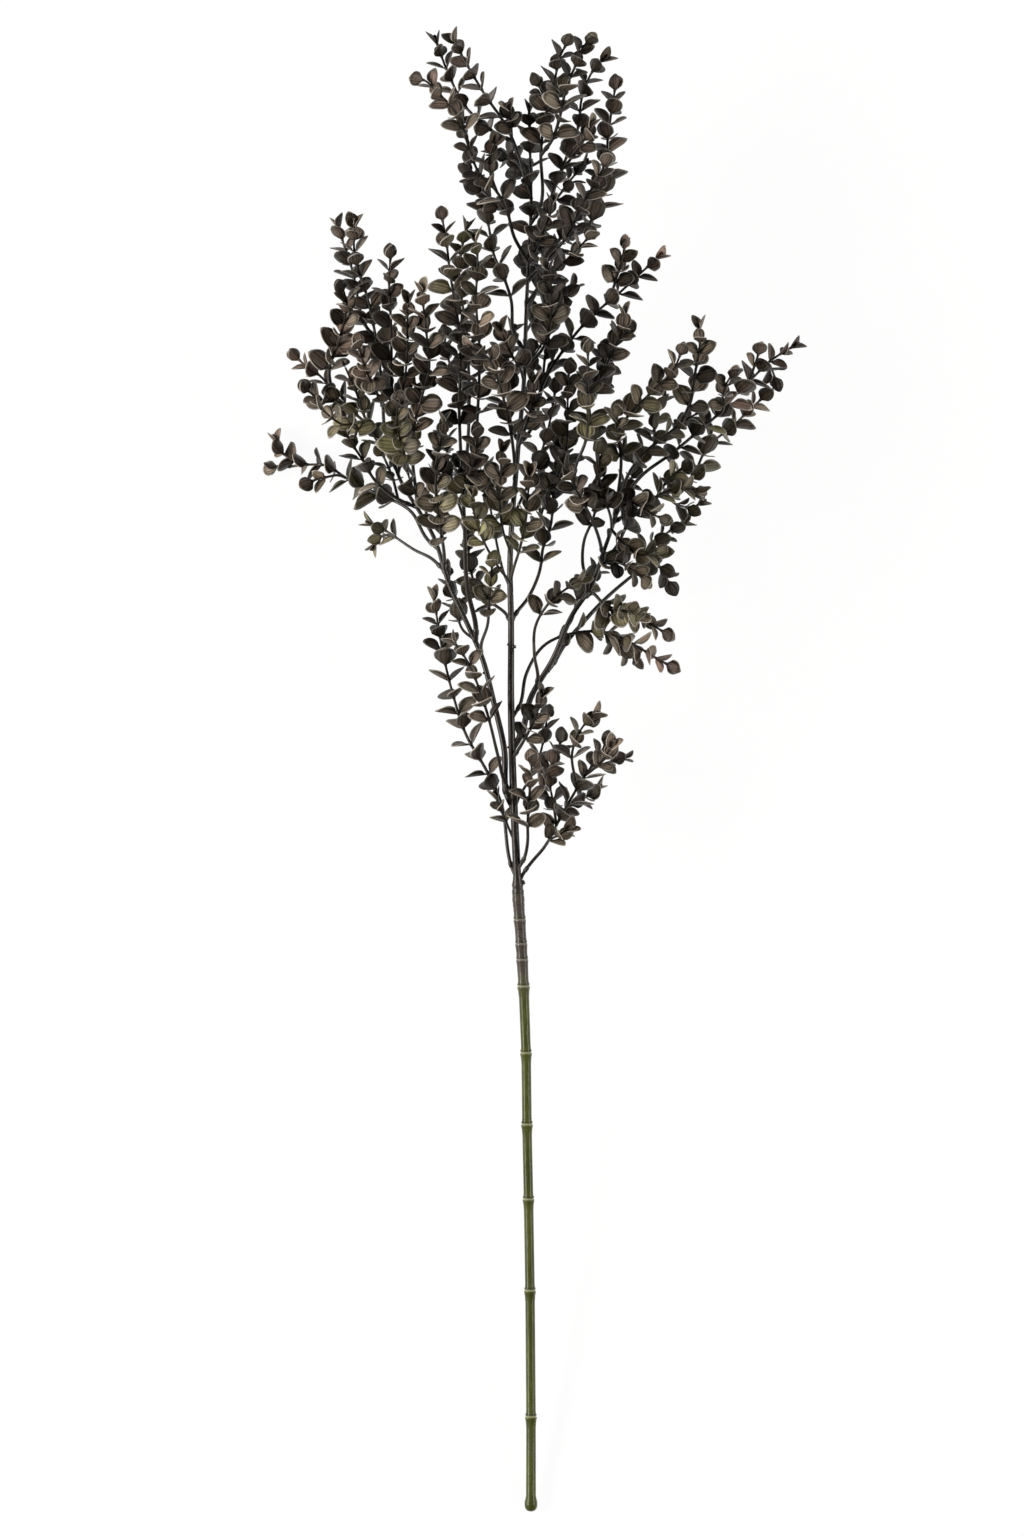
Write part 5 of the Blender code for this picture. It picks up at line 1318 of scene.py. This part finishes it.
class Paint:
    """A finish in the making: a Principled material and the nodes that feed it."""

    def __init__(self, name):
        self.material = bpy.data.materials.new(name)
        self.material.use_nodes = True
        self.tree = self.material.node_tree
        self.shader = self.tree.nodes["Principled BSDF"]

    def feed(self, socket, value):
        """Gives a socket a link or a number."""
        if isinstance(value, Field):
            self.tree.links.new(value.socket, socket)
        else:
            socket.default_value = value

    def node(self, kind, settings, inputs, output=0):
        """A new node with its settings and inputs. Returns one of its outputs."""
        node = self.tree.nodes.new(f"ShaderNode{kind}")
        for name, value in settings.items():
            setattr(node, name, value)
        for name, value in inputs.items():
            self.feed(node.inputs[name], value)
        return Field(self, node.outputs[output])

    def maths(self, operation, first, second=0.0):
        return self.node("Math", {"operation": operation}, {0: first, 1: second})

    def mix(self, share, first, second):
        """Goes from the first colour to the second as the share goes from nought to one."""
        inputs = {MIX_SHARE: share, MIX_FIRST: first, MIX_SECOND: second}
        return self.node("Mix", {"data_type": "RGBA"}, inputs, MIX_RESULT)

    def step(self, value, start, end):
        """Nought below the start, one above the end and smooth between them. The start may be the higher."""
        low, high = sorted((start, end))
        inputs = {"Value": value, "From Min": low, "From Max": high}
        rise = self.node("MapRange", {"interpolation_type": "SMOOTHSTEP"}, inputs)
        return rise if start < end else 1.0 - rise

    def noise(self, place, scale, detail, roughness):
        inputs = {"Vector": place, "Scale": scale, "Detail": detail, "Roughness": roughness}
        return self.node("TexNoise", {}, inputs, "Fac")

    def along_branch(self, place, scale):
        """The place scaled along the branch alone."""
        return self.node("Mapping", {"vector_type": "POINT"}, {"Vector": place, "Scale": (1.0, scale, 1.0)})

    def here(self):
        """The place on the branch, in metres."""
        return self.node("TexCoord", {}, {}, "Object")

    def rise(self, amount, least, more):
        """The least, and more of it with the amount."""
        return least + amount * more

    def stored(self, name, output="Fac"):
        """A value that the mesh stores."""
        return self.node("Attribute", {"attribute_name": name}, {}, output)

    def parts(self, vector):
        """The three parts of a vector."""
        split = self.node("SeparateXYZ", {}, {"Vector": vector})
        return [Field(self, output) for output in split.socket.node.outputs]

    def finish(self, colour, roughness, gloss, height, bump):
        """Feeds the shader its colour, its roughness, its gloss and the bump of its surface."""
        strength, distance = bump
        self.feed(self.shader.inputs["Specular IOR Level"], gloss)
        self.feed(self.shader.inputs["Base Color"], colour)
        self.feed(self.shader.inputs["Roughness"], roughness)
        normal = self.node("Bump", {}, {"Height": height, "Strength": strength, "Distance": distance})
        self.feed(self.shader.inputs["Normal"], normal)
        return self.material


def leaf_lines(paint, across, v):
    """A leaf's rib, and the veins that arch from it towards the rim."""
    rib = paint.step(across, *RIB_EDGE)
    wave = paint.maths("SINE", (across * VEIN_WAVES - v * VEIN_SLANT) * (2 * math.pi))
    return rib, paint.step(wave, *VEIN_CREST) * paint.step(across, *VEIN_ENDS)


def leaf_colours(paint, centre, mottle):
    """A leaf's own near-black, and the pale colour of the dusting on it."""
    shade, olive, dusty = paint.parts(paint.stored("tone", "Vector"))
    warm = centre * paint.step(mottle, *WARM_MOTTLE) * (1.0 - shade) * WARM_SHARE
    dark = paint.mix(warm, paint.mix(shade, LEAF_BROWN, LEAF_GREY), LEAF_WARM)
    dark = paint.mix(olive * MOSS_SHARE, dark, LEAF_MOSS)
    pink = paint.maths("MAXIMUM", dusty, centre * shade * PINK_CENTRE)
    pale = paint.mix(olive, paint.mix(pink, LEAF_ASH, LEAF_DUSTY), LEAF_SAGE)
    return dark, pale, shade


def leaf_finish():
    """Near-black moulded leaves with pale dust of ash, pink or sage, ribs, veins and pale rims. The dust
    thins as painted shade under other leaves, at the root and on one half, and the pale rims are partly wear,
    partly painted highlight.
    """
    paint = Paint("moulded_leaf")
    u, v, _ = paint.parts(paint.node("UVMap", {"uv_map": "blade"}, {}))
    across = paint.maths("ABSOLUTE", u * 2.0 - 1.0)
    rim = paint.maths("MAXIMUM", across, paint.maths("ABSOLUTE", v * 2.0 - 1.0))
    centre = paint.step(rim, *CENTRE_EDGE)
    mottle = paint.noise(paint.here(), *LEAF_MOTTLE)
    grain = paint.noise(paint.here(), *LEAF_GRAIN)
    rib, veins = leaf_lines(paint, across, v)
    dark, pale, shade = leaf_colours(paint, centre, mottle)
    wash = paint.stored("wash")
    # Painted shade: less pale dust towards the root and on one half of the leaf.
    lean = SHADED_ROOT_DUSTING + v * TIP_DUSTING_PAST_SHADE + (shade - 0.5) * (u - 0.5) * SHADED_SIDE_DUSTING
    texture = EVEN_DUSTING + mottle * MOTTLED_DUSTING + veins + grain * GRAINY_DUSTING
    dust_with_shade = wash * lean * (RIM_DUSTING + centre) * texture
    colour = paint.mix(paint.maths("MINIMUM", dust_with_shade, 1.0), dark, pale)
    lines = rib * paint.rise(wash, *RIB_DUSTING) + veins * paint.rise(wash, *VEIN_DUSTING)
    colour = paint.mix(lines, colour, pale)
    # Pale rims: partly wear, partly a painted highlight along the edge.
    worn_and_lit_rim = paint.step(rim + (mottle - 0.5) * WORN_AND_LIT_WANDER, *WORN_AND_LIT_EDGE)
    worn_and_lit_rim = paint.maths("MAXIMUM", paint.stored("edge"), worn_and_lit_rim)
    colour = paint.mix(worn_and_lit_rim * paint.rise(wash, *WORN_AND_LIT_DUSTING), colour, LEAF_RIM)
    colour = paint.mix(paint.stored("under") * UNDER_SHARE, colour, LEAF_UNDER)
    height = grain * GRAIN_HEIGHT + rib * RIB_HEIGHT + veins * VEIN_HEIGHT + mottle * MOTTLE_HEIGHT
    return paint.finish(colour, paint.rise(mottle, *LEAF_ROUGHNESS), LEAF_GLOSS, height, LEAF_BUMP)


def stem_finish():
    """Smooth near-black stems, streaked along their length, with pale dust where no leaf covers them and
    painted shade where leaves do.
    """
    paint = Paint("moulded_stem")
    place = paint.here()
    shade, olive, dusty = paint.parts(paint.stored("tone", "Vector"))
    wash = paint.stored("wash")
    streak = paint.noise(paint.along_branch(place, STREAK_SCALE), *STEM_STREAKS)
    patch = paint.noise(place, *STEM_PATCHES)
    dark = paint.mix(shade, STEM_BROWN, STEM_GREY)
    pale = paint.mix(olive, paint.mix(dusty, STEM_WORN, STEM_DUSTY), STEM_OLIVE)
    tint = paint.maths("MAXIMUM", olive, dusty)
    # Painted shade: the pale dust thins where leaves cover the stem.
    dust_with_shade = wash * paint.rise(tint, *STEM_DUSTING) * paint.step(patch, *STEM_PATCH_EDGE)
    colour = paint.mix(dust_with_shade, dark, pale)
    colour = paint.mix(paint.step(streak, *STREAK_EDGE) * paint.rise(wash, *STREAK_DUSTING), colour, pale)
    height = streak + patch * STEM_PATCH_HEIGHT
    return paint.finish(colour, paint.rise(patch, *STEM_ROUGHNESS), STEM_GLOSS, height, STEM_BUMP)


def cane_finish():
    """Streaked olive plastic, greyer and then browner towards the top, with a pale band in each ring that is
    partly a painted highlight, and painted shade in the wrinkles of the brown neck.
    """
    paint = Paint("ringed_cane")
    place = paint.here()
    _, along, _ = paint.parts(place)
    along = along + MIDDLE_Y * MM
    fine = paint.noise(paint.along_branch(place, FINE_STREAK_SCALE), *CANE_STREAKS)
    broad = paint.noise(paint.along_branch(place, STREAK_SCALE), *CANE_FIBRES)
    patch = paint.noise(place, *CANE_PATCHES)
    colour = paint.mix(paint.step(broad, *FIBRE_EDGE), CANE_DEEP, CANE_GREEN)
    colour = paint.mix(paint.step(fine, *CANE_STREAK_EDGE) * CANE_STREAK_SHARE, colour, CANE_STREAK)
    colour = paint.mix(paint.step(patch, *CANE_PATCH_EDGE) * CANE_PATCH_SHARE, colour, CANE_GREYED)
    height_up = along + patch * CHANGE_WANDER
    colour = paint.mix(paint.step(height_up, *GREYING), colour, CANE_GREYED)
    colour = paint.mix(paint.step(height_up, *BROWNING), colour, CANE_BROWNED)
    brown = paint.step(along, *BROWNING)
    lip, band, _ = paint.parts(paint.stored("ring", "Vector"))
    colour = paint.mix(lip * LIP_SHARE, colour, CANE_LIP)
    # The pale band: partly paler plastic, partly a painted highlight on each ring.
    colour = paint.mix(band * BAND_HIGHLIGHT_SHARE, colour, paint.mix(brown, CANE_BAND_HIGHLIGHT, CANE_BAND_HIGHLIGHT_ABOVE))
    wrinkles = paint.noise(paint.along_branch(place, WRINKLE_SCALE), *CANE_WRINKLES)
    # Painted shade: the low places of the wrinkles' bump are darkened.
    fold_shade = brown * paint.step(wrinkles, *FOLD_SHADE_EDGE) * FOLD_SHADE_SHARE
    colour = paint.mix(fold_shade, colour, STEM_BROWN)
    height = fine + broad * FIBRE_HEIGHT + brown * wrinkles * WRINKLE_HEIGHT
    return paint.finish(colour, paint.rise(patch, *CANE_ROUGHNESS), CANE_GLOSS, height, CANE_BUMP)


def floor_finish():
    """Plain pale paint, faintly uneven, that glows a little so that shadows on it stay faint."""
    paint = Paint("pale_floor")
    colour = paint.mix(paint.noise(paint.here(), *FLOOR_CLOUDS), FLOOR_WHITE, FLOOR_SHADE)
    paint.feed(paint.shader.inputs["Base Color"], colour)
    paint.feed(paint.shader.inputs["Roughness"], FLOOR_ROUGHNESS)
    paint.feed(paint.shader.inputs["Specular IOR Level"], 0.0)
    paint.feed(paint.shader.inputs["Emission Color"], PURE_WHITE)
    paint.feed(paint.shader.inputs["Emission Strength"], FLOOR_GLOW)
    return paint.material


def cane_girth(place):
    """The cane's radius between its rings."""
    return float(np.interp(place, *zip(*CANE_GIRTH)))


def cane_stations():
    """Points and radii of the cane: a rounded foot, a flared ring at each joint and a wrinkled neck."""
    line = cane_line()
    stretch = lengths_along(line)[-1] / CANE_LENGTH
    profile = list(FOOT_CURVE)
    for ring in RING_PLACES:
        share = FLAT_RING_SHARE if ring > FLAT_RINGS_FROM else 1.0
        nearest = [abs(ring - other) for other in RING_PLACES if other != ring]
        for offset, swell in FLARED_RING:
            place = ring + offset
            if abs(offset) < min(nearest) / 2 and place < NECK_STARTS:
                profile.append((place, cane_girth(place) + swell * share))
    profile += NECK_CURVE
    profile.append((CANE_LENGTH, cane_girth(CANE_LENGTH)))
    return [(point_at(line, place * stretch)[0], radius) for place, radius in sorted(profile)]


def build_cane():
    """The ringed cane, which stores how near each point is to the lips and to the band of a ring, whose pale
    colour is partly a painted highlight.
    """
    piece = round_tube("cane_ringed", cane_stations(), CANE_ROUNDNESS)
    along = coordinates(piece.data)[:, 1] / MM + MIDDLE_Y
    offsets = along[:, None] - np.array(RING_PLACES)[None, :]
    apart = offsets[np.arange(len(along)), np.abs(offsets).argmin(axis=1)]
    band = np.exp(-(((apart - HIGHLIGHT_BAND_MIDDLE) / RING_BAND) ** 2))
    lip = np.exp(-(((apart - LIP_PLACE) / RING_BAND) ** 2))
    ring = piece.data.attributes.new("ring", "FLOAT_VECTOR", "POINT")
    ring.data.foreach_set("vector", np.column_stack([lip, band, np.zeros(len(apart))]).ravel())
    piece.data.materials.append(cane_finish())
    return piece


def build_floor():
    """A broad pale floor under the branch."""
    bpy.ops.object.select_all(action="DESELECT")
    bpy.ops.mesh.primitive_plane_add(size=FLOOR_SIZE)
    floor = bpy.context.object
    floor.name = "floor"
    floor.data.materials.append(floor_finish())


def add_lamp(name, place, size, power):
    """A long soft lamp that faces the branch's middle and runs along it."""
    lamp = bpy.data.lights.new(name, "AREA")
    lamp.shape = "RECTANGLE"
    lamp.size, lamp.size_y = size
    lamp.energy = power
    lamp.color = LAMP_COLOUR
    holder = bpy.data.objects.new(name, lamp)
    holder.location = place
    holder.rotation_euler = (-Vector(place)).to_track_quat("-Z", "Y").to_euler()
    bpy.context.scene.collection.objects.link(holder)


def build_studio():
    """Faint light all round, a long soft lamp at the left and a weaker one at the right."""
    world = bpy.data.worlds.new("studio")
    world.use_nodes = True
    background = world.node_tree.nodes["Background"]
    background.inputs["Color"].default_value = PURE_WHITE
    background.inputs["Strength"].default_value = SURROUND_LIGHT
    bpy.context.scene.world = world
    for lamp in LAMPS:
        add_lamp(*lamp)
    bpy.context.scene.view_settings.view_transform = "Standard"


def build_camera():
    """A long lens straight above the branch, with the cane's foot at the bottom of the picture."""
    camera = bpy.data.objects.new("camera", bpy.data.cameras.new("camera"))
    camera.data.lens = LENS
    camera.data.sensor_fit = "VERTICAL"
    camera.data.sensor_height = SENSOR
    height = PICTURE_HEIGHT * MM * LENS / SENSOR
    camera.location = (*AIM, height + AIM_LEVEL)
    camera.data.clip_end = CLIP_END
    bpy.context.scene.collection.objects.link(camera)
    bpy.context.scene.camera = camera


def dress_branch():
    """Plans the branch, and puts a finished piece in the place of each of its solids."""
    stems = plan_stems()
    room = Room(stems)
    for stem in stems.values():
        if stem.bare < 1.0:
            grow_leaves(stem, room)
    crown = np.array([leaf.middle() for stem in stems.values() for leaf in stem.leaves])
    patterns = [leaf_pattern(f"leaf_pattern_{k}", *shape) for k, shape in enumerate(LEAF_PATTERNS)]
    finishes = {"leaf": leaf_finish(), "stem": stem_finish()}
    for name, stem in stems.items():
        if not stem.moulded:
            keep_piece(dress_node(name, stems, patterns, finishes, crown), name)
    keep_piece(build_cane(), "cane")
    for pattern in patterns:
        bpy.data.objects.remove(pattern)


dress_branch()
build_floor()
build_studio()
build_camera()
